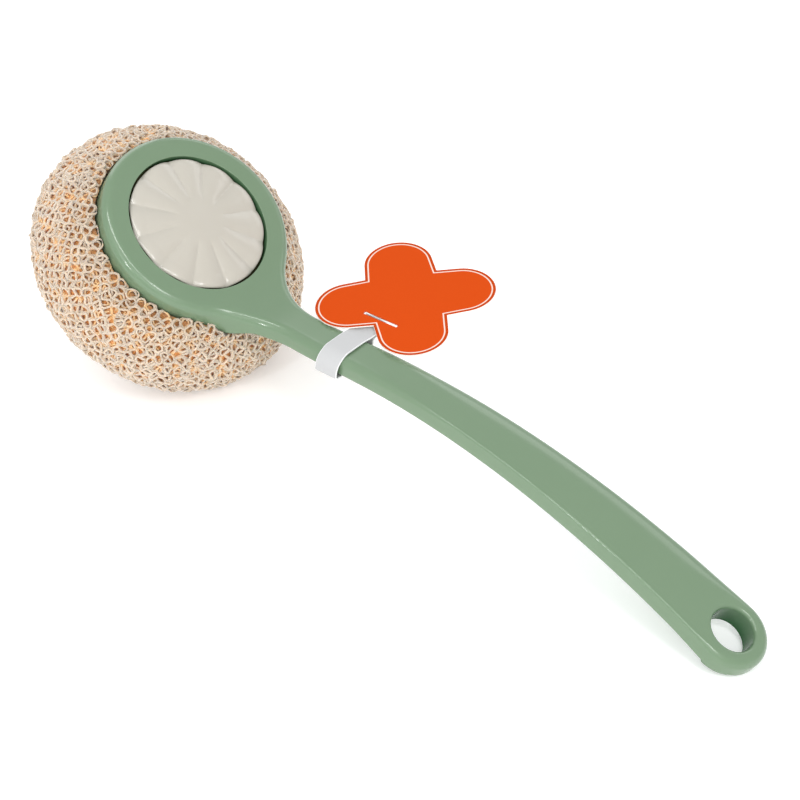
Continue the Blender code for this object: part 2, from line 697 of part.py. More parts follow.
def pin_window(head, number, angle):
    """Return the block that keeps a pin's hole to the cheeks beside its own slot."""
    half = PIN_LENGTH / 2 + GAP
    block = add_object(f"pin_window_{number}", box_mesh(
        f"pin_window_{number}", (PIN_RING_R - 2 * PIN_R, -half, PIN_HEIGHT - 2 * PIN_R),
        (PIN_RING_R + 2 * PIN_R, half, PIN_HEIGHT + 2 * PIN_R)), parent=head)
    block.rotation_euler = (0, 0, angle)
    return block


def jaw_profile():
    """Return the jaw's side outline from its pin: (out from the pin, up from the pin)."""
    inner = JAW_INNER - PIN_RING_R
    outer = inner + JAW_THICK + GAP
    waist = inner + JAW_PAD_THICK
    return [(inner, JAW_LIFT), (outer - GAP, JAW_LIFT), (outer, -2 * PIN_DROP),
            (outer, -JAW_REACH + 2 * JAW_PAD_THICK), (outer - JAW_PAD_THICK, -JAW_REACH),
            (inner, -JAW_REACH), (inner, -JAW_REACH + JAW_PAD), (waist, -JAW_REACH + JAW_PAD + GAP),
            (waist, -2 * PIN_DROP), (inner, -2 * PIN_DROP + JAW_PAD_THICK)]


def build_jaws(head):
    """Build the jaws, each with its origin on its pin, and the pins."""
    outline = jaw_profile()
    mesh = bpy.data.meshes.new("clamp_jaw")
    shape = bmesh.new()
    face = shape.faces.new([shape.verts.new((x, -JAW_WIDTH / 2, z)) for x, z in outline])
    moved = bmesh.ops.extrude_face_region(shape, geom=[face])["geom"]
    side = [v for v in moved if isinstance(v, bmesh.types.BMVert)]
    bmesh.ops.translate(shape, vec=(0, JAW_WIDTH, 0), verts=side)
    bmesh.ops.recalc_face_normals(shape, faces=shape.faces)
    shape.to_mesh(mesh)
    shape.free()
    pin = cylinder_mesh("jaw_pin", PIN_R, PIN_LENGTH, [(0, 0, PIN_LENGTH / 2)], 12)
    smooth(pin)
    for number, angle in enumerate(jaw_angles(), 1):
        seat = (PIN_RING_R * math.cos(angle), PIN_RING_R * math.sin(angle), PIN_HEIGHT)
        jaw = add_object(f"clamp_jaw_{number}", mesh.copy(), WHITE_PLASTIC, head)
        jaw.location = seat
        jaw.rotation_euler = (0, 0, angle)
        hole = add_object(f"jaw_bore_{number}", cylinder_mesh(
            f"jaw_bore_{number}", PIN_R + GAP, 2 * JAW_WIDTH, [(0, 0, JAW_WIDTH)], 12), parent=head)
        hole.location = seat
        hole.rotation_euler = (math.pi / 2, 0, angle)
        boolean(jaw, hole)
        baked(jaw)
        axle = add_object(f"jaw_pin_{number}", pin, STEEL, head)
        axle.location = seat
        axle.rotation_euler = (math.pi / 2, 0, angle)


def ball_profile():
    """Return the ball's section: dish, lip round the ring, flattened round side, and the well."""
    lip_r = DISH_R + BALL_LIP_WIDTH
    ellipse_start = math.acos(min(1.0, (lip_r + BALL_LIP_WIDTH) / BALL_R))
    side = [(BALL_R * math.cos(a), -BALL_DROP + BALL_HALF_THICK * math.sin(a))
            for a in np.linspace(ellipse_start, -math.pi / 2, 18)]
    lip = [(DISH_R, DISH_HEIGHT), (DISH_R + BALL_LIP_WIDTH / 3, DISH_HEIGHT + 0.7 * BALL_LIP),
           (lip_r, DISH_HEIGHT + BALL_LIP)]
    return [(0.0, -WELL_DEPTH), (WELL_R, -WELL_DEPTH), (WELL_R, DISH_HEIGHT)] + lip + side


def build_ball(head, floor):
    """Build the scrub ball's soft body, flat where it rests."""
    ball = turned("scrub_ball", ball_profile(), SCRUB_FIBRE, head, 44)
    boolean(ball, floor)
    return baked(ball)


def build_knot(head):
    """Build the gathered stalk that the jaws grip and the cord tied round its foot."""
    shoulder = KNOT_R - KNOT_TAPER
    turned("gather_knot", [
        (0.0, KNOT_TOP), (shoulder * 0.7, KNOT_TOP), (shoulder, KNOT_TOP - KNOT_TAPER),
        (KNOT_R, KNOT_FOOT), (0.0, KNOT_FOOT)], SCRUB_FIBRE, head, 20)
    center = (KNOT_R + GAP + TIE_R, KNOT_FOOT + TIE_R)
    turned("tie_cord", arc(center, TIE_R, 90, -225, 8), TIE_THREAD, head, 20, closed=True)


def quatrefoil():
    """Return the tag's outline: four arcs and the straight flanks that meet at the notches."""
    flank = math.hypot(NOTCH_R - LOBE_OFFSET, LOBE_OFFSET)
    swing = math.acos(LOBE_R / flank)
    start = math.atan2(-LOBE_OFFSET, NOTCH_R - LOBE_OFFSET) + swing
    end = math.atan2(NOTCH_R - LOBE_OFFSET, -LOBE_OFFSET) - swing
    points = []
    for quarter in range(4):
        turn = Matrix.Rotation(math.pi / 2 * quarter, 2)
        points.append(turn @ Vector((NOTCH_R, 0.0)))
        lobe = arc((LOBE_OFFSET, LOBE_OFFSET), LOBE_R, math.degrees(start), math.degrees(end), 15)
        points.extend(turn @ Vector(p) for p in lobe)
    return points


def tag_matrix():
    """Return the tag's place: its middle, risen along the handle and across it."""
    center = Vector((HEAD_X + TAG_REACH, TAG_SIDE, HEAD_Z - TAG_DROP))
    return (Matrix.Translation(center) @ Matrix.Rotation(-TAG_RISE_ALONG, 4, "Y")
            @ Matrix.Rotation(TAG_RISE_ACROSS, 4, "X"))


def build_tag():
    """Build the card tag, with the slit that the strap's end locks into."""
    curve = bpy.data.curves.new("hang_tag", "CURVE")
    curve.dimensions = "2D"
    curve.fill_mode = "BOTH"
    curve.extrude = CARD_THICK / 2
    slit = [(x * SLIT_LENGTH / 2, -SLIT_OFFSET + y * SLIT_WIDTH / 2)
            for x, y in ((-1, -1), (-1, 1), (1, 1), (1, -1))]
    for outline in (quatrefoil(), slit):
        spline = curve.splines.new("POLY")
        spline.points.add(len(outline) - 1)
        spline.use_cyclic_u = True
        for point, place_xy in zip(spline.points, outline):
            point.co = (place_xy[0], place_xy[1], 0.0, 1.0)
    tag = add_object("hang_tag", curve, ORANGE_CARD)
    tag.matrix_world = tag_matrix()
    bpy.context.view_layer.update()
    return as_mesh(tag)


def strap_path():
    """Return the strap's middle line in the section at the strap: (across, above the top line).

    It runs from the locking tab in the tag's slit, under the tag, over the neck, round its far
    side and back under it, and ends below its own start.
    """
    half = float(arm_half(STRAP_ALONG + STRAP_WIDTH / 2)) + STRAP_GAP + CARD_THICK / 2
    lift = STRAP_GAP + CARD_THICK / 2
    under = -ARM_THICK - lift
    top_r = TOP_FILLET + lift
    low_r = BOTTOM_FILLET + lift
    slit = tag_matrix() @ Vector((0.0, -SLIT_OFFSET, 0.0))
    line_z = float(np.interp(slit.x, LINE[1], LINE[2]))
    slit_above = slit.z - line_z
    rise = math.tan(TAG_RISE_ACROSS)
    below = CARD_THICK + GAP

    def under_tag(across, layers=1):
        return slit_above - (slit.y - across) * rise - layers * below - GAP

    far_top = arc((-(half - top_r), lift - top_r), top_r, 90, 180, 5)
    far_low = arc((-(half - low_r), under + low_r), low_r, 180, 270, 4)
    near_low = arc((half - low_r, under + low_r), low_r, 270, 360, 4)
    near = half + CARD_THICK
    leave = half - top_r
    return ([(slit.y, slit_above + TAB_HEIGHT), (slit.y, under_tag(slit.y)),
             (near + GAP, under_tag(near + GAP)), (leave, lift)]
            + far_top + far_low + near_low
            + [(half, -top_r), (near + GAP, under_tag(near + GAP, 2)),
               ((near + slit.y) / 2, under_tag((near + slit.y) / 2, 2))])


def build_strap():
    """Build the card strap as a folded strip with the card's thickness."""
    path = np.array(strap_path())
    mesh = bpy.data.meshes.new("tag_strap")
    edges = [on_handle(np.full(len(path), STRAP_ALONG + side * STRAP_WIDTH / 2), path[:, 0], path[:, 1])
             for side in (-1, 1)]
    shape = bmesh.new()
    rows = [[shape.verts.new(p) for p in edge] for edge in edges]
    for i in range(len(path) - 1):
        shape.faces.new([rows[0][i], rows[0][i + 1], rows[1][i + 1], rows[1][i]])
    shape.to_mesh(mesh)
    shape.free()
    strap = add_object("tag_strap", mesh, WHITE_CARD)
    wall = strap.modifiers.new("card", "SOLIDIFY")
    wall.thickness = CARD_THICK
    wall.offset = 0.0
    wall.use_even_offset = True
    return strap


def build_brush():
    """Build every piece of the brush."""
    head = bpy.data.objects.new("head_axis", None)
    PARTS.objects.link(head)
    head.location = (HEAD_X, 0, HEAD_Z)
    head.rotation_euler = (0, HEAD_TILT, 0)
    bpy.context.view_layer.update()
    floor = floor_cutter()
    build_handle(head, floor)
    build_button(head)
    build_rod(head)
    build_cover(head)
    build_screws(head)
    build_washer(head)
    build_spring(head)
    build_carrier(head)
    build_jaws(head)
    build_ball(head, floor)
    build_knot(head)
    build_tag()
    build_strap()
    bpy.context.view_layer.update()


build_brush()
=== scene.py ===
"""Looks of the dish brush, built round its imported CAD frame.

A moulded handle ends in a ring, and the ring holds a push button and the clamp under it. The
clamp grips a scrub ball of knitted net. A card tag hangs on a card strap round the neck.

The head has axes of its own: forward towards the handle, sideways, and up out of the ring.
Heights there are measured from the top of the ring, so everything under it is negative.
"""
from __future__ import annotations

import logging
import math
from collections.abc import Callable
from dataclasses import dataclass, field
from enum import Enum

import bmesh
import bpy
import numpy as np
from mathutils import Matrix, Vector


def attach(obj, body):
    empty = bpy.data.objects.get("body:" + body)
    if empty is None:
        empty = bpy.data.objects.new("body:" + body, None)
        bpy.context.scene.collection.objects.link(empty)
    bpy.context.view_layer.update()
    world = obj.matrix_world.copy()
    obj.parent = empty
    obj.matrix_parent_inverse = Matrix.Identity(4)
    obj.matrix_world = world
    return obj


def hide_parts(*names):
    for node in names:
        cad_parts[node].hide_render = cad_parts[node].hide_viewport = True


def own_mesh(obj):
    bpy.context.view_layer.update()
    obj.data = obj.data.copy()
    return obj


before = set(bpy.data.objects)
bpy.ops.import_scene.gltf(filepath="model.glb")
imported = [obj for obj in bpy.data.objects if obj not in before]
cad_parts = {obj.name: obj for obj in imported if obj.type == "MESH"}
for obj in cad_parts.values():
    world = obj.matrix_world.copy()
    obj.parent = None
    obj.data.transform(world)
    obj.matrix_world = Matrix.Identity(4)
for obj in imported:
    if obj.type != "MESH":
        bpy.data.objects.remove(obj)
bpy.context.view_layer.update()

LOG = logging.getLogger("dish_brush")
Array = np.ndarray

MM = 0.001
WELD = 0.002 * MM
GOLDEN_ANGLE = math.pi * (3.0 - math.sqrt(5.0))
# Painted shade: the darkest tone of a net loop, where the ring shades it; a loop in the open is
# near 0
SHADED_TONE = -5.0

# Place of the head: the middle of the ring's top, and how far it leans towards the handle
HEAD_TILT = math.radians(35.4)
HEAD_PLACE = np.array([-4.6276, 0.0, 55.8994]) * MM
HEAD_AXES = np.array([[math.cos(HEAD_TILT), 0.0, -math.sin(HEAD_TILT)],
                      [0.0, 1.0, 0.0],
                      [math.sin(HEAD_TILT), 0.0, math.cos(HEAD_TILT)]])


class Body(Enum):
    """Bodies of the frame that the pieces ride on."""

    BRUSH = "brush"
    BUTTON = "button"
    BALL = "ball"
    TAG = "tag"


class Slot(Enum):
    """Material slots of the record."""

    GREEN = "sage_green_polypropylene"
    CREAM = "cream_polypropylene"
    NYLON = "natural_nylon"
    STEEL = "stainless_steel"
    SPRING = "spring_steel"
    FIBRE = "knitted_cream_fibre"
    THREAD = "white_thread"
    ORANGE = "orange_printed_card"
    WHITE = "white_card"


def linear(code: str) -> tuple[float, float, float, float]:
    """Turn an sRGB hex colour into a linear one.

    Args:
        code: Six hex digits.

    Returns:
        Red, green, blue and an alpha of 1.
    """
    parts = np.array([int(code[i:i + 2], 16) for i in (0, 2, 4)]) / 255.0
    parts = np.where(parts <= 0.04045, parts / 12.92, ((parts + 0.055) / 1.055) ** 2.4)
    return (*(float(part) for part in parts), 1.0)


def add_node(tree: bpy.types.NodeTree, kind: str, inputs: dict | None = None,
             **settings: object) -> bpy.types.Node:
    """Add one node with its settings, values and links.

    Args:
        tree: Node tree of the material.
        kind: Type name of the node.
        inputs: Socket name or number to a value, or to the output that feeds it.
        **settings: Properties of the node itself.

    Returns:
        The new node.
    """
    node = tree.nodes.new(kind)
    for key, value in settings.items():
        setattr(node, key, value)
    for key, value in (inputs or {}).items():
        if isinstance(value, bpy.types.NodeSocket):
            tree.links.new(value, node.inputs[key])
        else:
            node.inputs[key].default_value = value
    return node


def make_material(name: str, shade: Callable[[bpy.types.NodeTree], bpy.types.Node]
                  ) -> bpy.types.Material:
    """Make a material round the shader that a function builds.

    Args:
        name: Name of the material.
        shade: Builds the shader in the material's node tree.

    Returns:
        The new material.
    """
    made = bpy.data.materials.new(name)
    made.use_nodes = True
    made.node_tree.nodes.clear()
    shader = shade(made.node_tree)
    add_node(made.node_tree, "ShaderNodeOutputMaterial", {"Surface": shader.outputs[0]})
    return made


@dataclass(frozen=True)
class Finish:
    """What every finish has: its record slot, its colour and how smooth it is."""

    name: str
    slot: Slot
    color: str
    roughness: float

    def material(self) -> bpy.types.Material:
        """Return the material, made once and then shared."""
        return bpy.data.materials.get(self.name) or make_material(self.name, self.shade)

    def shade(self, tree: bpy.types.NodeTree) -> bpy.types.Node:
        """Build the shader; each kind of finish has its own."""
        raise NotImplementedError


@dataclass(frozen=True)
class MouldedPlastic(Finish):
    """Injection-moulded plastic: an even colour, a soft gloss and a faint orange peel.

    The real surface is nearly mirror-flat with waves about a millimetre long, so highlights run
    clean but their edges tremble, and the gloss changes a little from place to place. Clouds of
    tint, worn patches and the peel's waves each have their real size. The attribute "hollow" is
    1 down in bores and gaps, where shade is painted: the colour darkens towards the hollow shade
    colour, and the reflection is turned down as the surface there mirrors nothing bright.
    """

    shade_color: str = "000000"
    hollow_shade_color: str = "000000"
    glow: float = 0.0
    glow_reach: float = 1.2 * MM
    cloud: float = 14.0 * MM
    wear: float = 3.0 * MM
    peel: float = 1.1 * MM
    peel_depth: float = 0.004 * MM
    smoother: float = 0.03
    rougher: float = 0.04
    shine: float = 0.5
    hollow_shine: float = 0.03

    def shade(self, tree: bpy.types.NodeTree) -> bpy.types.Node:
        """Mix two near colours by slow noise, paint shade in hollows, vary the gloss, add the peel.

        Args:
            tree: Node tree of the material.

        Returns:
            The shader.
        """
        place = add_node(tree, "ShaderNodeTexCoord").outputs["Object"]
        clouds = add_node(tree, "ShaderNodeTexNoise", {
            "Vector": place, "Scale": 1 / self.cloud, "Detail": 3.0, "Roughness": 0.5})
        tint = add_node(tree, "ShaderNodeMix", {
            0: clouds.outputs["Fac"], 6: linear(self.color), 7: linear(self.shade_color)},
            data_type="RGBA")
        # painted shade: down in bores and gaps the colour darkens to the hollow shade colour and
        # the reflection is turned down
        hollow = add_node(tree, "ShaderNodeAttribute", attribute_name="hollow")
        body = add_node(tree, "ShaderNodeMix", {
            0: hollow.outputs["Fac"], 6: tint.outputs[2], 7: linear(self.hollow_shade_color)},
            data_type="RGBA")
        sheen = add_node(tree, "ShaderNodeMapRange", {
            "Value": hollow.outputs["Fac"], "To Min": self.shine, "To Max": self.hollow_shine})
        wear = add_node(tree, "ShaderNodeTexNoise", {
            "Vector": place, "Scale": 1 / self.wear, "Detail": 4.0, "Roughness": 0.6})
        gloss = add_node(tree, "ShaderNodeMapRange", {
            "Value": wear.outputs["Fac"], "To Min": self.roughness - self.smoother,
            "To Max": self.roughness + self.rougher})
        peel = add_node(tree, "ShaderNodeTexNoise", {
            "Vector": place, "Scale": 1 / self.peel, "Detail": 1.0})
        bump = add_node(tree, "ShaderNodeBump", {
            "Height": peel.outputs["Fac"], "Distance": self.peel_depth, "Strength": 0.6})
        return add_node(tree, "ShaderNodeBsdfPrincipled", {
            "Base Color": body.outputs[2], "Roughness": gloss.outputs["Result"],
            "Specular IOR Level": sheen.outputs["Result"],
            "Normal": bump.outputs["Normal"], "IOR": 1.49, "Subsurface Weight": self.glow,
            "Subsurface Radius": (1.0, 1.0, 1.0), "Subsurface Scale": self.glow_reach})


@dataclass(frozen=True)
class Steel(Finish):
    """Stainless or spring steel: a bright metal with fine drawing or turning marks."""

    grain: float = 0.25 * MM
    mark_depth: float = 0.004 * MM
    uneven: float = 0.08

    def shade(self, tree: bpy.types.NodeTree) -> bpy.types.Node:
        """Let fine noise change the gloss and the height, as marks of the tool do.

        Args:
            tree: Node tree of the material.

        Returns:
            The shader.
        """
        place = add_node(tree, "ShaderNodeTexCoord").outputs["Object"]
        marks = add_node(tree, "ShaderNodeTexNoise", {
            "Vector": place, "Scale": 1 / self.grain, "Detail": 3.0})
        gloss = add_node(tree, "ShaderNodeMapRange", {
            "Value": marks.outputs["Fac"], "To Min": self.roughness - self.uneven,
            "To Max": self.roughness + self.uneven})
        bump = add_node(tree, "ShaderNodeBump", {
            "Height": marks.outputs["Fac"], "Distance": self.mark_depth, "Strength": 0.5})
        return add_node(tree, "ShaderNodeBsdfPrincipled", {
            "Base Color": linear(self.color), "Metallic": 1.0,
            "Roughness": gloss.outputs["Result"], "Normal": bump.outputs["Normal"]})


@dataclass(frozen=True)
class KnittedFibre(Finish):
    """Knitted polyester net: cream strands, with warm light painted in where it goes deep.

    Each strand passes light on to the next; that light is painted by depth, so crests are pale
    and the layers under them are painted tan and orange. The attribute "depth" holds millimetres
    below the ball's skin, and "tone" a random number for each loop, with painted shade lowering it
    where the ring shades it.
    """

    middle_painted_light_color: str = "000000"
    deep_painted_light_color: str = "000000"
    top_depth: float = -0.1
    middle_depth: float = 0.8
    deep_depth: float = 1.9
    darkest: float = 0.54
    lightest: float = 1.08
    filament: float = 0.25 * MM
    filament_depth: float = 0.05 * MM
    crumple: float = 1.1 * MM
    crumple_depth: float = 0.9 * MM
    glow: float = 0.35
    glow_reach: float = 1.5 * MM

    def shade(self, tree: bpy.types.NodeTree) -> bpy.types.Node:
        """Paint light by depth in three colours, then lighten or darken each loop by its tone.

        Args:
            tree: Node tree of the material.

        Returns:
            The shader.
        """
        place = add_node(tree, "ShaderNodeTexCoord").outputs["Object"]
        depth = add_node(tree, "ShaderNodeAttribute", attribute_name="depth").outputs["Fac"]
        tone_and_shade = add_node(tree, "ShaderNodeAttribute", attribute_name="tone_and_shade").outputs["Fac"]
        near = add_node(tree, "ShaderNodeMapRange", {
            "Value": depth, "From Min": self.top_depth, "From Max": self.middle_depth},
            interpolation_type="SMOOTHSTEP")
        far = add_node(tree, "ShaderNodeMapRange", {
            "Value": depth, "From Min": self.middle_depth, "From Max": self.deep_depth})
        # painted light: pale at the crests, warm tan and orange deeper in
        first = add_node(tree, "ShaderNodeMix", {
            0: near.outputs["Result"], 6: linear(self.color), 7: linear(self.middle_painted_light_color)},
            data_type="RGBA")
        second = add_node(tree, "ShaderNodeMix", {
            0: far.outputs["Result"], 6: first.outputs[2], 7: linear(self.deep_painted_light_color)},
            data_type="RGBA")
        bright = add_node(tree, "ShaderNodeMapRange", {
            "Value": tone_and_shade, "From Min": SHADED_TONE, "From Max": 1.0,
            "To Min": self.darkest, "To Max": self.lightest})
        toned = add_node(tree, "ShaderNodeHueSaturation", {
            "Color": second.outputs[2], "Value": bright.outputs["Result"]})
        # filaments of a strand are about 0.1 mm apart, too fine to show, so they are drawn at 0.25
        filaments = add_node(tree, "ShaderNodeTexNoise", {
            "Vector": place, "Scale": 1 / self.filament, "Detail": 2.0})
        fine = add_node(tree, "ShaderNodeBump", {
            "Height": filaments.outputs["Fac"], "Distance": self.filament_depth,
            "Strength": 0.5})
        # far down, strands too deep to be built show as crumples about a millimetre wide
        crumple = add_node(tree, "ShaderNodeTexNoise", {
            "Vector": place, "Scale": 1 / self.crumple, "Detail": 2.0, "Distortion": 1.5})
        relief = add_node(tree, "ShaderNodeMath", {
            0: crumple.outputs["Fac"], 1: far.outputs["Result"]}, operation="MULTIPLY")
        bump = add_node(tree, "ShaderNodeBump", {
            "Height": relief.outputs["Value"], "Distance": self.crumple_depth,
            "Normal": fine.outputs["Normal"]})
        return add_node(tree, "ShaderNodeBsdfPrincipled", {
            "Base Color": toned.outputs["Color"], "Roughness": self.roughness,
            "Normal": bump.outputs["Normal"], "IOR": 1.5, "Sheen Weight": 0.5,
            "Sheen Roughness": 0.5, "Subsurface Weight": self.glow,
            "Subsurface Radius": (1.0, 0.75, 0.5), "Subsurface Scale": self.glow_reach})


@dataclass(frozen=True)
class PrintedCard(Finish):
    """Coated card: a smooth face with a faint fibre mottle, and bands of ink along its edge.

    The attribute "inset" holds millimetres in from the cut edge; the cut itself is below 0.
    """

    cut_color: str = "FBF3EC"
    bands: tuple[tuple[float, str], ...] = ()
    fade: float = 0.04
    gloss: float = 0.1
    mottle: float = 0.7 * MM
    mottle_depth: float = 0.01 * MM
    uneven: float = 0.03

    def shade(self, tree: bpy.types.NodeTree) -> bpy.types.Node:
        """Mottle the colour and height by fine noise.

        Args:
            tree: Node tree of the material.

        Returns:
            The shader.
        """
        place = add_node(tree, "ShaderNodeTexCoord").outputs["Object"]
        fibres = add_node(tree, "ShaderNodeTexNoise", {
            "Vector": place, "Scale": 1 / self.mottle, "Detail": 4.0, "Roughness": 0.7})
        value = add_node(tree, "ShaderNodeMapRange", {
            "Value": fibres.outputs["Fac"], "To Min": 1.0 - self.uneven,
            "To Max": 1.0 + self.uneven})
        mottled = add_node(tree, "ShaderNodeHueSaturation", {
            "Color": self.ink(tree), "Value": value.outputs["Result"]})
        bump = add_node(tree, "ShaderNodeBump", {
            "Height": fibres.outputs["Fac"], "Distance": self.mottle_depth, "Strength": 0.5})
        return add_node(tree, "ShaderNodeBsdfPrincipled", {
            "Base Color": mottled.outputs["Color"], "Roughness": self.roughness,
            "Normal": bump.outputs["Normal"], "IOR": 1.5, "Specular IOR Level": self.gloss})

    def ink(self, tree: bpy.types.NodeTree) -> bpy.types.NodeSocket:
        """Lay each band over the last one, from its own distance inwards.

        Args:
            tree: Node tree of the material.

        Returns:
            The colour's socket.
        """
        inset = add_node(tree, "ShaderNodeAttribute", attribute_name="inset").outputs["Fac"]
        shown: tuple | bpy.types.NodeSocket = linear(self.cut_color)
        for start, color in self.bands:
            past = add_node(tree, "ShaderNodeMapRange", {
                "Value": inset, "From Min": start - self.fade, "From Max": start + self.fade})
            mix = add_node(tree, "ShaderNodeMix", {
                0: past.outputs["Result"], 6: shown, 7: linear(color)}, data_type="RGBA")
            shown = mix.outputs[2]
        return shown


# Polypropylene, moulded in one colour: waxy, softly glossy, with painted shade in bore and hole
SAGE_GREEN = MouldedPlastic("moulded_sage_polypropylene", Slot.GREEN, "72896D", 0.17,
                            shade_color="6E8669", hollow_shade_color="2E5A36", glow=0.04)
# Polypropylene in a warm off-white, which light enters a little, with painted shade in its gap
CREAM = MouldedPlastic("moulded_cream_polypropylene", Slot.CREAM, "BFBAAF", 0.17,
                       shade_color="BBB5A9", hollow_shade_color="3A3A22", glow=0.10)
# Uncoloured nylon: slightly yellow and satin, with light in its edges
NYLON = MouldedPlastic("moulded_natural_nylon", Slot.NYLON, "DAD8CC", 0.42,
                       shade_color="D2CFC1", glow=0.2)
# Stainless screws and pins, turned and tumbled: bright, with soft-edged reflections
BRIGHT_STEEL = Steel("turned_stainless_steel", Slot.STEEL, "C4C4C1", 0.28)
# Drawn spring wire: greyer than the screws, with coarser marks
WIRE_STEEL = Steel("drawn_spring_steel", Slot.SPRING, "A2A2A6", 0.32, grain=0.5 * MM)
# Knitted polyester net, dry and open: pale crests, with painted warm light between them
NET_FIBRE = KnittedFibre("knitted_polyester_net", Slot.FIBRE, "D0BBA5", 0.75,
                         middle_painted_light_color="FFC88A", deep_painted_light_color="F0A65C")
# Twisted polyester thread that ties the net's middle: nearly white and matt
TIE_THREAD = KnittedFibre("twisted_polyester_thread", Slot.THREAD, "F2EFE6", 0.7,
                          middle_painted_light_color="E8E2D4", deep_painted_light_color="DDD3BF")
# Coated board, offset-printed: an even orange, with a pale line inside a darker rim
TAG_CARD = PrintedCard("printed_orange_board", Slot.ORANGE, "CF4A10", 0.55, gloss=0.02,
                       bands=((0.0, "BE440E"), (1.0, "EAD4C8"), (1.45, "CF4A10")))
# The strap's board, grey on its face and white where it is cut
STRAP_CARD = PrintedCard("coated_white_board", Slot.WHITE, "C0C0C0", 0.5, cut_color="EEEEEE",
                         bands=((0.0, "C0C0C0"),))


def from_head(points: Array) -> Array:
    """Carry points from the head's own axes to the world."""
    return HEAD_PLACE + points @ HEAD_AXES


def to_head(points: Array) -> Array:
    """Carry points from the world to the head's own axes."""
    return (points - HEAD_PLACE) @ HEAD_AXES.T


def smoothstep(value: Array, low: float, high: float) -> Array:
    """Ease from 0 to 1 between two values."""
    t = np.clip((value - low) / (high - low), 0.0, 1.0)
    return t * t * (3.0 - 2.0 * t)


def arc(center: tuple[float, float], radius: float, start: float, end: float,
        count: int) -> Array:
    """Return points of an arc in a section's plane.

    Args:
        center: Middle of the arc.
        radius: Its radius.
        start: First angle in degrees.
        end: Last angle in degrees.
        count: Number of points.

    Returns:
        An array of (count, 2).
    """
    angle = np.radians(np.linspace(start, end, count))
    return np.stack([center[0] + radius * np.cos(angle), center[1] + radius * np.sin(angle)], 1)


def quads(rows: int, cols: int, wrap_rows: bool = False, wrap_cols: bool = False) -> Array:
    """Number the faces of a grid of points that is stored row by row.

    Args:
        rows: Number of rows.
        cols: Number of points in a row.
        wrap_rows: Whether the last row joins the first.
        wrap_cols: Whether the last point of a row joins its first.

    Returns:
        An array of (faces, 4) point numbers.
    """
    i, j = np.meshgrid(np.arange(rows if wrap_rows else rows - 1),
                       np.arange(cols if wrap_cols else cols - 1), indexing="ij")
    k, m = (i + 1) % rows, (j + 1) % cols
    return np.stack([i * cols + j, i * cols + m, k * cols + m, k * cols + j], -1).reshape(-1, 4)


def closed_ends(grid: Array) -> Array:
    """Close a tube at both ends by one more row each, drawn together in its row's middle.

    Args:
        grid: Points as (stations, section, 3).

    Returns:
        The grid with two more stations.
    """
    start, end = (np.repeat(row.mean(axis=0, keepdims=True)[None], len(row), 1)
                  for row in (grid[0], grid[-1]))
    return np.concatenate([start, grid, end])


def mark_points(mesh: bpy.types.Mesh, name: str, values: Array | float) -> None:
    """Keep a number for each point of a mesh as an attribute.

    Args:
        mesh: The mesh.
        name: Name of the attribute.
        values: One number, or one for each point.
    """
    kept = mesh.attributes.new(name, "FLOAT", "POINT")
    filled = np.full(len(mesh.vertices), values, np.float32)
    kept.data.foreach_set("value", filled)


def place_in_scene(name: str, data: bpy.types.ID) -> bpy.types.Object:
    """Make an object of a mesh, a light or a camera, and link it to the scene.

    Args:
        name: Name of the object.
        data: What it shows.

    Returns:
        The object.
    """
    made = bpy.data.objects.new(name, data)
    bpy.context.scene.collection.objects.link(made)
    return made


@dataclass
class Shell:
    """Surface patches that together close one piece."""

    points: list[Array] = field(default_factory=list)
    faces: list[Array] = field(default_factory=list)
    marks: list[Array] = field(default_factory=list)

    def add(self, grid: Array, wrap_rows: bool = False, wrap_cols: bool = False,
            mark: Array | float = 0.0) -> None:
        """Add a grid of points as one patch.

        Args:
            grid: Points as (rows, columns, 3).
            wrap_rows: Whether the last row joins the first.
            wrap_cols: Whether the last column joins the first.
            mark: Value kept for each point, one number or one for each.
        """
        start = sum(len(block) for block in self.points)
        rows, cols = grid.shape[:2]
        self.points.append(grid.reshape(-1, 3))
        self.faces.append(quads(rows, cols, wrap_rows, wrap_cols) + start)
        self.marks.append(np.broadcast_to(np.asarray(mark, float), (rows, cols)).reshape(-1))

    def mesh(self, name: str, mark_name: str = "") -> bpy.types.Mesh:
        """Join the patches, weld their edges and turn all faces outwards.

        Args:
            name: Name of the mesh.
            mark_name: Attribute that keeps the marks, if any.

        Returns:
            The closed mesh.
        """
        mesh = bpy.data.meshes.new(name)
        mesh.from_pydata(np.concatenate(self.points), [], np.concatenate(self.faces).tolist())
        if mark_name:
            mark_points(mesh, mark_name, np.concatenate(self.marks))
        shape = bmesh.new()
        shape.from_mesh(mesh)
        bmesh.ops.remove_doubles(shape, verts=shape.verts, dist=WELD)
        bmesh.ops.recalc_face_normals(shape, faces=shape.faces)
        shape.to_mesh(mesh)
        shape.free()
        return mesh


def show(name: str, mesh: bpy.types.Mesh, finish: Finish, body: Body,
         stands_for: tuple[str, ...] = (), sharp: float = 40.0) -> bpy.types.Object:
    """Put a finished mesh into the scene as one piece.

    Args:
        name: Name of the piece.
        mesh: Its mesh, already in place.
        finish: What it is made of.
        body: The body that it rides on.
        stands_for: CAD nodes that it replaces.
        sharp: Edges sharper than this many degrees stay sharp.

    Returns:
        The piece.
    """
    mesh.materials.clear()
    mesh.materials.append(finish.material())
    mesh.shade_smooth()
    mesh.set_sharp_from_angle(angle=math.radians(sharp))
    piece = place_in_scene(name, mesh)
    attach(piece, body.value)
    if stands_for:
        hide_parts(*stands_for)
    LOG.info("%s: %d faces, rides on %s", name, len(mesh.polygons), body.value)
    return piece


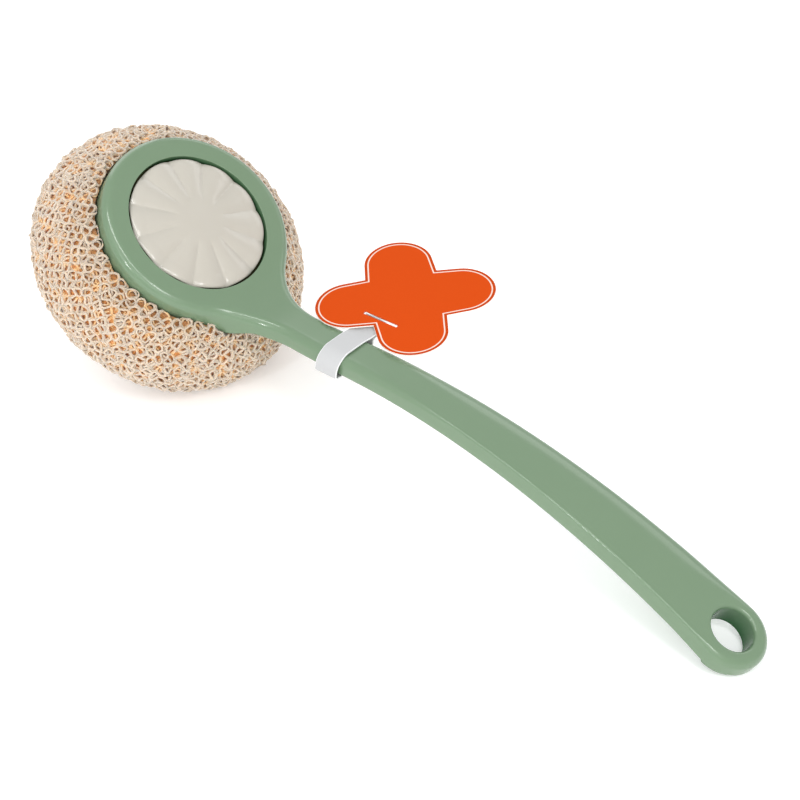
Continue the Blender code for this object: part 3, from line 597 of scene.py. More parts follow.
def turned_grid(profile: Array, steps: int, wave: Array | None = None) -> Array:
    """Turn a section round the head's axis.

    A point (radius, height) becomes a circle. A wave, one row for each point and one column for
    each step, is added to the heights.

    Args:
        profile: Points as (count, 2).
        steps: Points round the axis.
        wave: Heights to add.

    Returns:
        Points in the head's axes as (count, steps, 3).
    """
    angle = np.linspace(0.0, math.tau, steps, endpoint=False)
    radius = profile[:, :1]
    height = np.repeat(profile[:, 1:], steps, axis=1)
    if wave is not None:
        height = height + wave
    return np.stack([radius * np.cos(angle), radius * np.sin(angle), height], axis=-1)


@dataclass
class TopLine:
    """The handle's top line in the world's XZ plane.

    It is straight over the head, then three cubics carry it down to the neck's dip, up to a
    crest and down to the hang hole, and it runs on straight to the tip.
    """

    # distances from the head along X, and heights from the ring's top
    neck_start: float = 21.6 * MM
    dip: tuple[float, float] = (47.4 * MM, -19.0 * MM)
    crest: tuple[float, float] = (86.7 * MM, -17.6 * MM)
    hole_reach: float = 212.6 * MM
    hole_height: float = 10.4785 * MM
    end_slope: float = math.radians(23.8)
    back: float = 32.9 * MM
    beyond: float = 24.0 * MM
    samples: int = 4800

    def __post_init__(self) -> None:
        """Sample the line once: distance along it, x, z and slope."""
        tilt = math.tan(HEAD_TILT)
        neck = self.neck_start * math.cos(HEAD_TILT)
        drop = self.hole_height - HEAD_PLACE[2]
        stations = [(neck, -neck * tilt, -tilt), (*self.dip, 0.0), (*self.crest, 0.0),
                    (self.hole_reach, drop, -math.tan(self.end_slope))]
        x = np.linspace(-self.back, self.hole_reach + self.beyond, self.samples)
        z = -x * tilt
        for start, end in zip(stations, stations[1:]):
            z = np.where(x > start[0], self.cubic(x, start, end), z)
        last = stations[-1]
        z = np.where(x > last[0], last[1] + (x - last[0]) * last[2], z)
        along = np.concatenate([[0.0], np.cumsum(np.hypot(np.diff(x), np.diff(z)))])
        self.along = along - np.interp(0.0, x, along)
        self.x, self.z = x + HEAD_PLACE[0], z + HEAD_PLACE[2]
        self.slope = np.arctan2(np.gradient(z), np.gradient(x))
        self.hole_along = self.at_reach(self.hole_reach)

    @staticmethod
    def cubic(x: Array, start: tuple[float, float, float],
              end: tuple[float, float, float]) -> Array:
        """Return heights on the cubic that joins two points (x, z, slope).

        Args:
            x: Where the heights are wanted.
            start: First point.
            end: Last point.

        Returns:
            The Hermite blend of both heights and both slopes.
        """
        span = end[0] - start[0]
        t = np.clip((x - start[0]) / span, 0.0, 1.0)
        return ((1 - 3 * t ** 2 + 2 * t ** 3) * start[1]
                + (t - 2 * t ** 2 + t ** 3) * span * start[2]
                + (3 * t ** 2 - 2 * t ** 3) * end[1] + (t ** 3 - t ** 2) * span * end[2])

    def at_reach(self, reach: float) -> float:
        """Return the distance along the line of a point that far from the head along X."""
        return float(np.interp(reach + HEAD_PLACE[0], self.x, self.along))

    def carry(self, along: Array, across: Array, above: Array) -> Array:
        """Bend flat points along the line.

        Args:
            along: Distance along the line.
            across: Distance sideways.
            above: Height square to the line.

        Returns:
            World points: the line's point, moved up along the line's own normal.
        """
        along, across, above = np.broadcast_arrays(along, across, above)
        slope = np.interp(along, self.along, self.slope)
        x = np.interp(along, self.along, self.x) - above * np.sin(slope)
        z = np.interp(along, self.along, self.z) + above * np.cos(slope)
        return np.stack([x, across, z], axis=-1)


@dataclass
class Handle:
    """The one-piece handle: ring, neck, arm, hang hole and the foot under it."""

    line: TopLine
    ring_r: float = 32.9 * MM
    ring_depth: float = 10.5 * MM
    cavity_r: float = 30.7 * MM
    bore_r: float = 24.5 * MM
    bore_rim: float = 0.15 * MM
    deck: float = 2.8 * MM
    top_fillet: float = 3.0 * MM
    crease_r: float = 0.8 * MM
    bevel_wide: float = 7.5 * MM
    bevel_fall: float = 2.3 * MM
    crease_from: float = 76.0 * MM
    crease_grows: float = 50.0 * MM
    crease_ends: float = 9.0 * MM
    bevel_ends: float = 27.0 * MM
    low_fillet: float = 1.5 * MM
    tip_low_fillet: float = 0.8 * MM
    neck_half: float = 6.8 * MM
    hollow_r: float = 30.5 * MM
    run_out: float = 9.0 * MM
    end_half: float = 12.0 * MM
    widening: float = 1.1
    waist: float = 0.3 * MM
    thick: float = 6.7 * MM
    hole_r: float = 7.0 * MM
    hole_rim: float = 1.3 * MM
    foot_r: float = 10.1 * MM
    foot_tip_r: float = 11.1 * MM
    foot_turn: float = 1.6
    foot_drop: float = 1.5 * MM
    foot_edge: float = 0.4 * MM
    deck_start: float = 37.0 * MM
    hole_margin: float = 14.0 * MM
    boss_ring_r: float = 27.8 * MM
    boss_r: float = 2.2 * MM
    pilot_r: float = 1.3 * MM
    boss_end: float = 7.8 * MM
    boss_sink: float = 0.1 * MM
    pilot_end: float = 4.2 * MM
    bosses: int = 4
    boss_steps: int = 24
    ring_steps: int = 100
    hollow_steps: int = 40
    side_steps: int = 120
    tip_steps: int = 40
    gate_steps: int = 15

    def __post_init__(self) -> None:
        """Work out the outline, and where the arm leaves its round ends.

        The ring's part of the outline ends at the point "first", and the tip's part starts at
        the point "last". Two gates, "front" and "rear", close the circles there.
        """
        reach = self.ring_r + self.hollow_r
        self.neck_along = math.sqrt(reach ** 2 - (self.neck_half + self.hollow_r) ** 2)
        self.edge, self.edge_out = self.outline()
        along, across = self.edge.T
        hole = self.line.hole_along
        self.first = int(np.searchsorted(along, self.deck_start))
        self.last = int(np.searchsorted(along, hole - self.hole_margin))
        self.gate = np.linspace(1.0, -1.0, self.gate_steps)
        self.ring_angle = np.arctan2(across[:self.first + 1], along[:self.first + 1])
        self.tip_angle = np.arctan2(across[self.last:], along[self.last:] - hole)
        self.front = np.arctan2(self.gate * across[self.first], along[self.first])
        self.rear = np.arctan2(self.gate * across[self.last], along[self.last] - hole)

    def half(self, along: Array) -> Array:
        """Return the arm's half width, which grows from the neck to the tip.

        It grows with a power of the way, less a shallow parabola that makes the waist.

        Args:
            along: Distance along the handle.

        Returns:
            Half widths.
        """
        share = np.clip((along - self.neck_along) / (self.line.hole_along - self.neck_along),
                        0.0, 1.0)
        grown = self.neck_half + (self.end_half - self.neck_half) * share ** self.widening
        return grown - 4 * self.waist * share * (1 - share)

    def depth(self, along: Array) -> Array:
        """Return how thick the handle is: the ring is deeper, and eases into the arm."""
        ease = smoothstep(along, self.cavity_r, self.cavity_r + self.run_out)
        return self.ring_depth + (self.thick - self.ring_depth) * ease

    def outline(self) -> tuple[Array, Array]:
        """Return one side of the flattened outline and its outward normals.

        It is an arc of the ring, a hollow arc into the neck, the arm's side and the round tip.

        Returns:
            Points (along, across) and unit normals, from the ring's back to the tip.
        """
        turn = math.atan2(self.neck_half + self.hollow_r, self.neck_along)
        ring = np.linspace(math.pi, turn, self.ring_steps)
        ring_n = np.stack([np.cos(ring), np.sin(ring)], 1)
        hollow = np.linspace(turn + math.pi, 1.5 * math.pi, self.hollow_steps)[1:]
        hollow_n = -np.stack([np.cos(hollow), np.sin(hollow)], 1)
        middle = np.array([self.neck_along, self.neck_half + self.hollow_r])
        side = np.linspace(self.neck_along, self.line.hole_along, self.side_steps)[1:-1]
        rise = np.gradient(self.half(side), side)
        side_n = np.stack([-rise, np.ones_like(rise)], 1) / np.hypot(rise, 1.0)[:, None]
        tip = np.linspace(math.pi / 2, 0.0, self.tip_steps)
        tip_n = np.stack([np.cos(tip), np.sin(tip)], 1)
        points = np.concatenate([ring_n * self.ring_r, middle - hollow_n * self.hollow_r,
                                 np.stack([side, self.half(side)], 1),
                                 np.array([self.line.hole_along, 0.0]) + tip_n * self.end_half])
        return points, np.concatenate([ring_n, hollow_n, side_n, tip_n])

    def near_fillet(self, along: Array) -> Array:
        """Return the top fillet of the near side, which tightens into a crease along the arm.

        Args:
            along: Distance along the handle.

        Returns:
            Radii of the fillet.
        """
        sharp = smoothstep(along, self.crease_from, self.crease_from + self.crease_grows)
        sharp -= smoothstep(along, self.line.hole_along - self.crease_ends,
                            self.line.hole_along + self.crease_ends)
        return self.top_fillet + (self.crease_r - self.top_fillet) * sharp

    def far_fillet(self, along: Array) -> tuple[Array, Array]:
        """Return the width and fall of the far side's top fillet, a soft bevel along the arm.

        Args:
            along: Distance along the handle.

        Returns:
            Widths and falls.
        """
        wide = smoothstep(along, self.crease_from, self.crease_from + self.crease_grows)
        wide -= smoothstep(along, self.line.hole_along - self.bevel_ends, self.line.hole_along)
        return (self.top_fillet + (self.bevel_wide - self.top_fillet) * wide,
                self.top_fillet + (self.bevel_fall - self.top_fillet) * wide)

    def under_fillet(self, along: Array) -> Array:
        """Return the fillet of the underside, which tightens towards the tip."""
        near_tip = smoothstep(along, self.line.hole_along - self.hole_margin,
                              self.line.hole_along)
        return self.low_fillet + (self.tip_low_fillet - self.low_fillet) * near_tip

    def foot_reach(self, angle: Array) -> Array:
        """Return the foot's radius, wider within a turn of the tip than on the arm's side."""
        return np.where(np.abs(angle) < self.foot_turn, self.foot_tip_r, self.foot_r)

    def skin(self, fillet: Array, fall: Array) -> Array:
        """Carry the rounded edge's section along the outline.

        The section runs from the underside round the low fillet, up the wall and round the top
        fillet. Each of its points is an inset from the outline and a height.

        Args:
            fillet: Width of the top fillet at each point.
            fall: Height of the top fillet at each point.

        Returns:
            Flat points (along, across, above) as (stations, section, 3).
        """
        low = np.radians(np.linspace(90, 0, 8))
        high = np.radians(np.linspace(0, 90, 15))
        along = self.edge[:, :1]
        under = self.under_fillet(along)
        inset = np.concatenate([under * (1 - np.cos(low)),
                                fillet[:, None] * (1 - np.cos(high))], axis=1)
        above = np.concatenate([under * (1 - np.sin(low)) - self.depth(along),
                                -fall[:, None] * (1 - np.sin(high))], axis=1)
        flat = self.edge[:, None] - self.edge_out[:, None] * inset[..., None]
        return np.concatenate([flat, above[..., None]], axis=-1)

    @staticmethod
    def ruled(start: Array, end: Array, rows: int) -> Array:
        """Fill between two lines of flat points with straight rungs."""
        share = np.linspace(0.0, 1.0, rows)[:, None, None]
        return start[None] * (1 - share) + end[None] * share

    @staticmethod
    def circle(center: float, radius: float | Array, angle: Array, above: float) -> Array:
        """Return flat points on a circle round a point of the middle line."""
        return np.stack([center + radius * np.cos(angle), radius * np.sin(angle),
                         np.full_like(angle, above)], axis=-1)

    def collar(self, center: float, angle: Array, section: Array) -> Array:
        """Carry a section (radius, above) round a circle of the given angles."""
        return np.stack([self.circle(center, r, angle, h) for r, h in section])

    def hollow(self, patch: Array) -> Array:
        """Return how deep each point lies in the bore or hanging hole, to mask painted shade.

        Args:
            patch: Flat points (along, across, above).

        Returns:
            Shares from 0 at the rim to 1 a little way down.
        """
        above = patch[..., 2]
        in_bore = np.hypot(patch[..., 0], patch[..., 1]) < self.bore_r + self.bore_rim / 2
        in_hole = (np.hypot(patch[..., 0] - self.line.hole_along, patch[..., 1])
                   < self.hole_r + self.hole_rim / 2)
        return (in_bore * smoothstep(-above, 0.0, 2 * self.bore_rim)
                + in_hole * smoothstep(-above, 0.0, 2 * self.hole_rim))

    def face(self, far: Array, near: Array, top: bool) -> list[Array]:
        """Fill the top or the underside with straight rungs.

        Rungs run from the edge to the bore's circle and to the hole's, and across the arm. Two
        more patches run from the circles to the gates, where the arm's rungs start and end.

        Args:
            far: Flat points where the far side's skin ends.
            near: The same on the near side.
            top: Whether it is the top, and not the underside.

        Returns:
            Patches of flat points.
        """
        first, last, hole = self.first, self.last, self.line.hole_along
        ring_r = self.bore_r + self.bore_rim if top else self.cavity_r
        ring_h, tip_h = (0.0, 0.0) if top else (-self.ring_depth, -self.thick)
        eye_r = self.hole_r + self.hole_rim
        tip_r, rear_r = (eye_r if top else self.foot_reach(angle)
                         for angle in (self.tip_angle, self.rear))
        patches = []
        for edge, way in ((far, 1.0), (near, -1.0)):
            loop = self.circle(0.0, ring_r, way * self.ring_angle, ring_h)
            patches.append(self.ruled(edge[:first + 1], loop, 10))
            loop = self.circle(hole, tip_r, way * self.tip_angle, tip_h)
            patches.append(self.ruled(edge[last:], loop, 6))
        share = (1.0 + self.gate[:, None]) / 2
        start, end = (far[spot] * share + near[spot] * (1.0 - share) for spot in (first, last))
        throat = self.ruled(self.circle(0.0, ring_r, self.front, ring_h), start, 12)
        throat[..., 2] = 0.0 if top else -self.depth(throat[..., 0])
        back = self.ruled(end, self.circle(hole, rear_r, self.rear, tip_h), 8)
        return [*patches, throat, back, self.ruled(far[first:last + 1], near[first:last + 1], 15)]

    def bore(self) -> Array:
        """Return the wall of the ring's bore and of the cavity under its deck.

        Returns:
            Flat points as (section, turn, 3).
        """
        section = np.concatenate([
            arc((self.bore_r + self.bore_rim, -self.bore_rim), self.bore_rim, 90, 180, 6),
            [(self.bore_r, -self.deck), (self.cavity_r, -self.deck),
             (self.cavity_r, -self.ring_depth)]])
        turn = np.concatenate([self.ring_angle, self.front[1:], -self.ring_angle[-2:0:-1]])
        return self.collar(0.0, turn, section)

    def eye(self) -> Array:
        """Return the wall of the hanging hole and the foot round it, wider round the tip.

        Returns:
            Flat points as (section, turn, 3).
        """
        bottom = -self.thick - self.foot_drop
        low = bottom + self.foot_edge
        section = np.concatenate([
            arc((self.hole_r + self.hole_rim, -self.hole_rim), self.hole_rim, 90, 180, 12),
            arc((self.hole_r + self.foot_edge, low), self.foot_edge, 180, 270, 4),
            arc((self.foot_r - self.foot_edge, low), self.foot_edge, 270, 360, 4),
            [(self.foot_r, -self.thick)]])
        turn = np.concatenate([-self.tip_angle, self.tip_angle[-2::-1], self.rear[1:-1]])
        wider = self.foot_reach(turn) - self.foot_r
        outside = self.foot_r - 2 * self.foot_edge
        return np.stack([self.circle(self.line.hole_along, r + wider * (r > outside), turn, h)
                         for r, h in section])

    def build(self) -> None:
        """Make the handle as one closed shell, and the screw bosses under its deck."""
        along = self.edge[:, 0]
        crease = self.near_fillet(along)
        far = self.skin(*self.far_fillet(along))
        near = self.skin(crease, crease) * np.array([1, -1, 1])
        sheets = [far, near, *self.face(far[:, -1], near[:, -1], top=True),
                  *self.face(far[:, 0], near[:, 0], top=False)]
        shell = Shell()
        for number, patch in enumerate([*sheets, self.bore(), self.eye()]):
            world = self.line.carry(patch[..., 0], patch[..., 1], patch[..., 2])
            # the tip rests on the worktop, so what would dip below it is flat
            world[..., 2] = np.maximum(world[..., 2], 0.0)
            # the mark is painted shade, darker down in the bore and the hanging hole
            shell.add(world, wrap_cols=number >= len(sheets), mark=self.hollow(patch))
        show("moulded_handle", shell.mesh("moulded_handle", "hollow"), SAGE_GREEN, Body.BRUSH,
             ("handle",), sharp=50)
        self.build_bosses()

    def build_bosses(self) -> None:
        """Make the four tubes under the deck that the cover's screws bite into."""
        shell = Shell()
        section = np.array([(0.0, -self.pilot_end), (self.pilot_r, -self.pilot_end),
                            (self.pilot_r, -self.boss_end), (self.boss_r, -self.boss_end),
                            (self.boss_r, self.boss_sink - self.deck),
                            (0.0, self.boss_sink - self.deck)])
        for number in range(self.bosses):
            angle = math.tau * (number + 0.5) / self.bosses
            place = self.boss_ring_r * np.array([math.cos(angle), math.sin(angle), 0.0])
            shell.add(from_head(turned_grid(section, self.boss_steps) + place), wrap_cols=True)
        show("screw_bosses", shell.mesh("screw_bosses"), SAGE_GREEN, Body.BRUSH)


@dataclass
class ReleaseButton:
    """The push button: a shallow crown with petals between soft creases, and its skirt."""

    radius: float = 23.75 * MM
    sink: float = 0.2 * MM
    crown: float = 1.7 * MM
    edge_r: float = 4.5 * MM
    edge_fall: float = 1.2 * MM
    edge_start: float = 84.0
    shade_start: float = 0.3 * MM
    wall: float = 1.9 * MM
    flange: float = 1.2 * MM
    flange_top: float = -3.1 * MM
    flange_thick: float = 1.2 * MM
    petals: int = 12
    petal_depth: float = 1.15 * MM
    petal_start: float = 6.5 * MM
    petal_full: float = 12.0 * MM
    petal_steps: int = 24
    petal_low: float = -3.0 * MM
    petal_high: float = -1.0 * MM
    edge_shade: float = 0.4
    socket_r: float = 3.3 * MM
    socket_wall: float = 1.8 * MM
    socket_end: float = -6.5 * MM

    def crown_height(self, radius: Array) -> Array:
        """Return the height of the crown, a shallow part of a ball."""
        ball = (self.radius ** 2 + self.crown ** 2) / (2 * self.crown)
        return self.crown - self.sink - ball + np.sqrt(ball ** 2 - radius ** 2)

    def build(self) -> None:
        """Make the button as one closed turned shell with petals."""
        flat_r = self.radius - self.edge_r
        radii = np.concatenate([np.linspace(0.0, self.petal_start, 6),
                                np.linspace(self.petal_start, flat_r, 26)[1:]])
        shoulder = float(self.crown_height(np.array(flat_r)))
        inner = self.radius - self.wall
        under = -self.sink - self.wall
        flange_low = self.flange_top - self.flange_thick
        # the rounded edge is a quarter of an ellipse, wider than it is high
        edge = (arc((0.0, 0.0), 1.0, self.edge_start, 0, 16) * [self.edge_r, self.edge_fall]
                + [flat_r, shoulder - self.edge_fall])
        edge = np.concatenate([edge, edge[-1:] - [(0.0, self.shade_start)]])
        profile = np.concatenate([
            np.stack([radii, self.crown_height(radii)], 1),
            edge,
            [(self.radius, self.flange_top), (self.radius + self.flange, self.flange_top),
             (self.radius + self.flange, flange_low), (inner, flange_low), (inner, under),
             (self.socket_r + self.socket_wall, under),
             (self.socket_r + self.socket_wall, self.socket_end),
             (self.socket_r, self.socket_end), (self.socket_r, under), (0.0, under)]])
        top = len(radii) + len(edge)
        steps = self.petals * self.petal_steps
        place = (np.arange(steps) / self.petal_steps + 0.5) % 1.0
        # a petal is a low arch: it falls with the square of the way from its middle to a crease
        arch = -(2.0 * place - 1.0) ** 2
        reach = (smoothstep(profile[:, 0], self.petal_start, self.petal_full)
                 * profile[:, 0] / self.radius)
        outside = np.arange(len(profile)) < top
        fall = np.clip((profile[:, 1] - self.petal_low) / (self.petal_high - self.petal_low),
                       0.0, 1.0)
        wave = self.petal_depth * (reach * outside * fall)[:, None] * arch[None, :]
        # painted shade: the edge's last point is partly darkened and all below it fully, so the gap
        # round the button shows dark
        hollow = np.zeros((len(profile), 1))
        hollow[top - 2] = self.edge_shade
        hollow[top - 1:] = 1.0
        shell = Shell()
        shell.add(from_head(turned_grid(profile, steps, wave)), wrap_cols=True, mark=hollow)
        show("petal_button", shell.mesh("petal_button", "hollow"), CREAM, Body.BUTTON,
             ("release_button",), sharp=60)


@dataclass(frozen=True)
class NetLayer:
    """One layer of loops in the ball's net: its sizes, and how it spreads over a surface.

    The spacing is the distance between loops, and a cell is the share of its square that each
    takes, as in a honeycomb. The strand is half as wide as the yarn. The lift is how far a loop
    rises and dips, and the tilt how far it leans. Room is shared among the near neighbours. Pairs
    of numbers are the least and the most that a random share comes to.
    """

    name: str
    depth: float
    spacing: float
    strand: float
    lift: float
    tilt: float
    seed: int
    parts: int = 1
    segments: int = 12
    sides: int = 4
    jitter: float = 0.14
    near: int = 9
    sharpness: float = 8.0
    least_room: float = 0.2
    most_room: float = 0.66
    cell: float = 0.866
    block: int = 512
    size: tuple[float, float] = (0.96, 1.12)
    smallest: float = 1.5
    overlap: float = 0.2
    leaning: tuple[float, float] = (0.2, 1.0)
    dip: float = 0.5
    wobble: float = 0.1
    strand_size: tuple[float, float] = (0.85, 1.15)
    # how much painted shade a loop takes near the ring, and more for a deeper layer
    shade: float = 0.2
    deep_shade: float = 3.0 / MM

    def lattice(self, profile: Array, rng: np.random.Generator
                ) -> tuple[Array, Array, Array, Array]:
        """Spread points evenly over a turned surface.

        Equal shares of area along the section, each turned on by the golden angle, give an even
        spread, and every point is then moved a little at random.

        Args:
            profile: The section as (radius, height).
            rng: Source of the random moves.

        Returns:
            Points, directions along the section, directions round the axis, outward normals.
        """
        step = np.hypot(*np.diff(profile, axis=0).T)
        ring = math.pi * (profile[1:, 0] + profile[:-1, 0]) * step
        area = np.concatenate([[0.0], np.cumsum(ring)])
        count = int(area[-1] / (self.cell * self.spacing ** 2))
        share = (np.arange(count) + 0.5) / count * area[-1]
        share = np.clip(share + rng.normal(0.0, self.jitter, count) * self.spacing
                        * np.interp(share, area, math.tau * profile[:, 0]), 0.0, area[-1])
        radius = np.interp(share, area, profile[:, 0])
        height = np.interp(share, area, profile[:, 1])
        angle = (np.arange(count) * GOLDEN_ANGLE + rng.normal(0.0, self.jitter, count)
                 * self.spacing / np.maximum(radius, self.spacing))
        slope = np.arctan2(np.gradient(profile[:, 1]), np.gradient(profile[:, 0]))
        tilt = np.interp(share, area, np.unwrap(slope))[:, None]
        out = np.stack([np.cos(angle), np.sin(angle), np.zeros(count)], 1)
        up = np.array([0.0, 0.0, 1.0])
        along = out * np.cos(tilt) + up * np.sin(tilt)
        round_ = np.stack([-np.sin(angle), np.cos(angle), np.zeros(count)], 1)
        normal = -out * np.sin(tilt) + up * np.cos(tilt)
        return out * radius[:, None] + up * height[:, None], along, round_, normal

    def room(self, points: Array, along: Array, round_: Array) -> Array:
        """Measure the room round each point in every direction.

        A neighbour at distance d in direction b leaves d / 2 / cos(a - b) in direction a. A
        power mean of all neighbours rounds the corners of the cell.

        Args:
            points: Middles of the loops.
            along: First direction in each loop's plane.
            round_: Second direction in each loop's plane.

        Returns:
            Distances as (points, segments).
        """
        order = np.empty((len(points), self.near), int)
        for start in range(0, len(points), self.block):
            block = points[start:start + self.block]
            gap = ((block[:, None] - points[None]) ** 2).sum(-1)
            gap[np.arange(len(block)), start + np.arange(len(block))] = np.inf
            nearest = np.argpartition(gap, self.near, axis=1)[:, :self.near]
            order[start:start + self.block] = nearest
        offset = points[order] - points[:, None]
        u = (offset * along[:, None]).sum(-1)
        v = (offset * round_[:, None]).sum(-1)
        half = np.maximum(np.hypot(u, v) / 2, self.least_room * self.spacing)
        angle = np.linspace(0.0, math.tau, self.segments, endpoint=False)
        facing = np.maximum(np.cos(angle[None, None] - np.arctan2(v, u)[..., None]), 0.0)
        total = (facing ** self.sharpness
                 / (half / self.spacing)[..., None] ** self.sharpness).sum(1)
        reach = self.spacing * np.maximum(total, 1e-9) ** (-1 / self.sharpness)
        return np.minimum(reach, self.most_room * self.spacing)


@dataclass
class ScrubBall:
    """The scrub ball: layers of knitted loops over a core, with a dish for the ring.

    The skin is an ellipsoid that settles against the ring. A loop is the rounded outline of the
    room that it has among its neighbours, so loops crowd together like cells of a net.
    """

    handle: Handle
    radius: float = 47.7 * MM
    half_thick: float = 28.3 * MM
    drop: float = 25.4 * MM
    # the lip lies against the ring, and the cap presses the ellipsoid down to it
    lip_height: float = -5.6 * MM
    lip_r: float = 34.4 * MM
    lip_wide: float = 3.5 * MM
    cap_r: float = 38.0 * MM
    cap_slope: float = 0.18
    cap_blend: float = 0.6 * MM
    cap_share: float = 0.9
    dish_r: float = 33.0 * MM
    dish_height: float = -11.4 * MM
    well_r: float = 13.3 * MM
    well_depth: float = -41.0 * MM
    stalk_r: float = 4.6 * MM
    core_depth: float = 1.15 * MM
    core_edge_r: float = 33.5 * MM
    core_dish_r: float = 33.6 * MM
    core_wall: float = 1.0 * MM
    core_mark: float = 2.4
    core_steps: int = 160
    swell: float = 0.34 * MM
    waves: int = 10
    wave_length: tuple[float, float] = (3.2 * MM, 6.0 * MM)
    wave_seed: int = 5
    shade_reach: float = 11.0 * MM
    # what the net keeps clear of the ring, the neck and the worktop
    ring_gap: float = 0.45 * MM
    ring_low_gap: float = 0.3 * MM
    neck_gap: float = 0.35 * MM
    side_gap: float = 0.6 * MM
    side_ease: float = 1.2 * MM
    floor_gap: float = 0.02 * MM
    neck_span: tuple[float, float] = (20.0 * MM, 90.0 * MM)
    layers: tuple[NetLayer, ...] = (
        NetLayer("net_outer", depth=0.1 * MM, spacing=2.85 * MM, strand=0.46 * MM,
                 lift=0.24 * MM, tilt=0.2, seed=11, parts=2),
        NetLayer("net_middle", depth=0.7 * MM, spacing=2.4 * MM, strand=0.4 * MM,
                 lift=0.24 * MM, tilt=0.2, seed=12, parts=3))
    dish_layer: NetLayer = NetLayer("net_dish", depth=0.0, spacing=2.7 * MM, strand=0.26 * MM,
                                    lift=0.12 * MM, tilt=0.05, seed=21)

    def skin_profile(self, inset: float) -> Array:
        """Return the skin's section from the ring round to the lowest point.

        The ellipse's height is capped where the net settles against the ring: the cap falls
        gently towards the ring, and the smaller of both heights holds.

        Args:
            inset: How far below the outermost skin.

        Returns:
            Points (radius, height) as an array.
        """
        a, b = self.radius - inset, self.half_thick - inset
        radius = np.linspace(self.lip_r, a * self.cap_share, 120)
        rise = -self.drop + b * np.sqrt(1 - (radius / a) ** 2)
        sunk = inset * smoothstep(radius, self.lip_r, self.lip_r + self.lip_wide)
        cap = self.lip_height - sunk - self.cap_slope * np.maximum(self.cap_r - radius, 0.0)
        height = -self.cap_blend * np.logaddexp(-rise / self.cap_blend, -cap / self.cap_blend)
        turn = np.linspace(math.acos(self.cap_share), -math.pi / 2, 300)[1:]
        rest = np.stack([a * np.cos(turn), -self.drop + b * np.sin(turn)], 1)
        return np.concatenate([np.stack([radius, height], 1), rest])

    def dish_profile(self) -> Array:
        """Return the dish's section from the ring inwards, down the well and to the stalk.

        Returns:
            Points (radius, height), evenly spaced along straight lines between four corners.
        """
        corners = np.array([(self.dish_r, self.dish_height), (self.well_r, self.dish_height),
                            (self.well_r, self.well_depth), (self.stalk_r, self.well_depth)])
        lengths = np.hypot(*np.diff(corners, axis=0).T)
        way = np.concatenate([[0.0], np.cumsum(lengths)])
        spots = np.linspace(0.0, way[-1], 600)
        return np.stack([np.interp(spots, way, corners[:, 0]),
                         np.interp(spots, way, corners[:, 1])], 1)

    def loops(self, layer: NetLayer, profile: Array) -> tuple[Array, Array, Array]:
        """Make the closed strands of one layer.

        A strand follows the edge of its room, leans as a whole, and rises and dips twice on its
        way round. Its own section is a small polygon.

        Args:
            layer: Sizes of the layer.
            profile: Section of the surface that it lies on.

        Returns:
            Points in the head's axes as (loops, segments, sides, 3), depths below the skin in
            millimetres, and a tone for each loop, lowered by painted shade near the ring.
        """
        rng = np.random.default_rng(layer.seed)
        middle, along, round_, normal = layer.lattice(profile, rng)
        count = len(middle)
        room = layer.room(middle, along, round_)
        size = rng.uniform(*layer.size, (count, 1))
        reach = np.maximum(room * size - layer.overlap * layer.strand,
                           layer.smallest * layer.strand)
        angle = np.linspace(0.0, math.tau, layer.segments, endpoint=False)[None]
        phase = rng.uniform(0.0, math.tau, (3, count, 1))
        rise = (rng.uniform(-1.0, 1.0, (count, 1)) * layer.lift
                + layer.tilt * rng.uniform(*layer.leaning, (count, 1)) * reach
                * np.cos(angle - phase[0])
                + layer.dip * layer.lift * np.cos(2 * angle - phase[1]))
        flat = reach * (1.0 + layer.wobble * np.cos(3 * angle - phase[2]))
        path = (middle[:, None] + along[:, None] * (flat * np.cos(angle))[..., None]
                + round_[:, None] * (flat * np.sin(angle))[..., None])
        rise = rise + self.bumps(path)
        path = path + normal[:, None] * rise[..., None]
        run = np.roll(path, -1, axis=1) - np.roll(path, 1, axis=1)
        run /= np.linalg.norm(run, axis=-1, keepdims=True)
        side = np.cross(run, normal[:, None])
        side /= np.linalg.norm(side, axis=-1, keepdims=True)
        top = np.cross(side, run)
        turn = np.linspace(0.0, math.tau, layer.sides, endpoint=False) + math.pi / 4
        thick = layer.strand * rng.uniform(*layer.strand_size, (count, 1, 1, 1))
        tube = (path[:, :, None] + thick * (side[:, :, None] * np.cos(turn)[:, None]
                                            + top[:, :, None] * np.sin(turn)[:, None]))
        depth = (layer.depth - rise)[:, :, None] - thick[..., 0] * np.sin(turn)
        # painted shade: loops near the ring's wall get a lower tone, deeper layers more so
        painted_shade = (layer.shade + layer.deep_shade * layer.depth) * self.shaded(middle)
        return tube, depth / MM, rng.uniform(-1.0, 1.0, count) - painted_shade

    def shaded(self, points: Array) -> Array:
        """Return how much the ring's edge shades the net, 1 at its wall and 0 a way out.

        Args:
            points: Points in the head's axes.

        Returns:
            Shares for the points.
        """
        radius = np.hypot(points[..., 0], points[..., 1])
        return 1.0 - smoothstep(radius, self.lip_r, self.lip_r + self.shade_reach)

    def bumps(self, points: Array) -> Array:
        """Return the bumps of the crowded net, a sum of waves that run in all directions.

        Args:
            points: Points in the head's axes.

        Returns:
            Heights, the same for points that lie together.
        """
        rng = np.random.default_rng(self.wave_seed)
        aim = rng.normal(size=(self.waves, 3))
        aim *= (math.tau / rng.uniform(*self.wave_length, (self.waves, 1))
                / np.linalg.norm(aim, axis=1, keepdims=True))
        total = sum(np.cos(points @ way + phase)
                    for way, phase in zip(aim, rng.uniform(0.0, math.tau, self.waves)))
        return self.swell * total / math.sqrt(self.waves / 2)

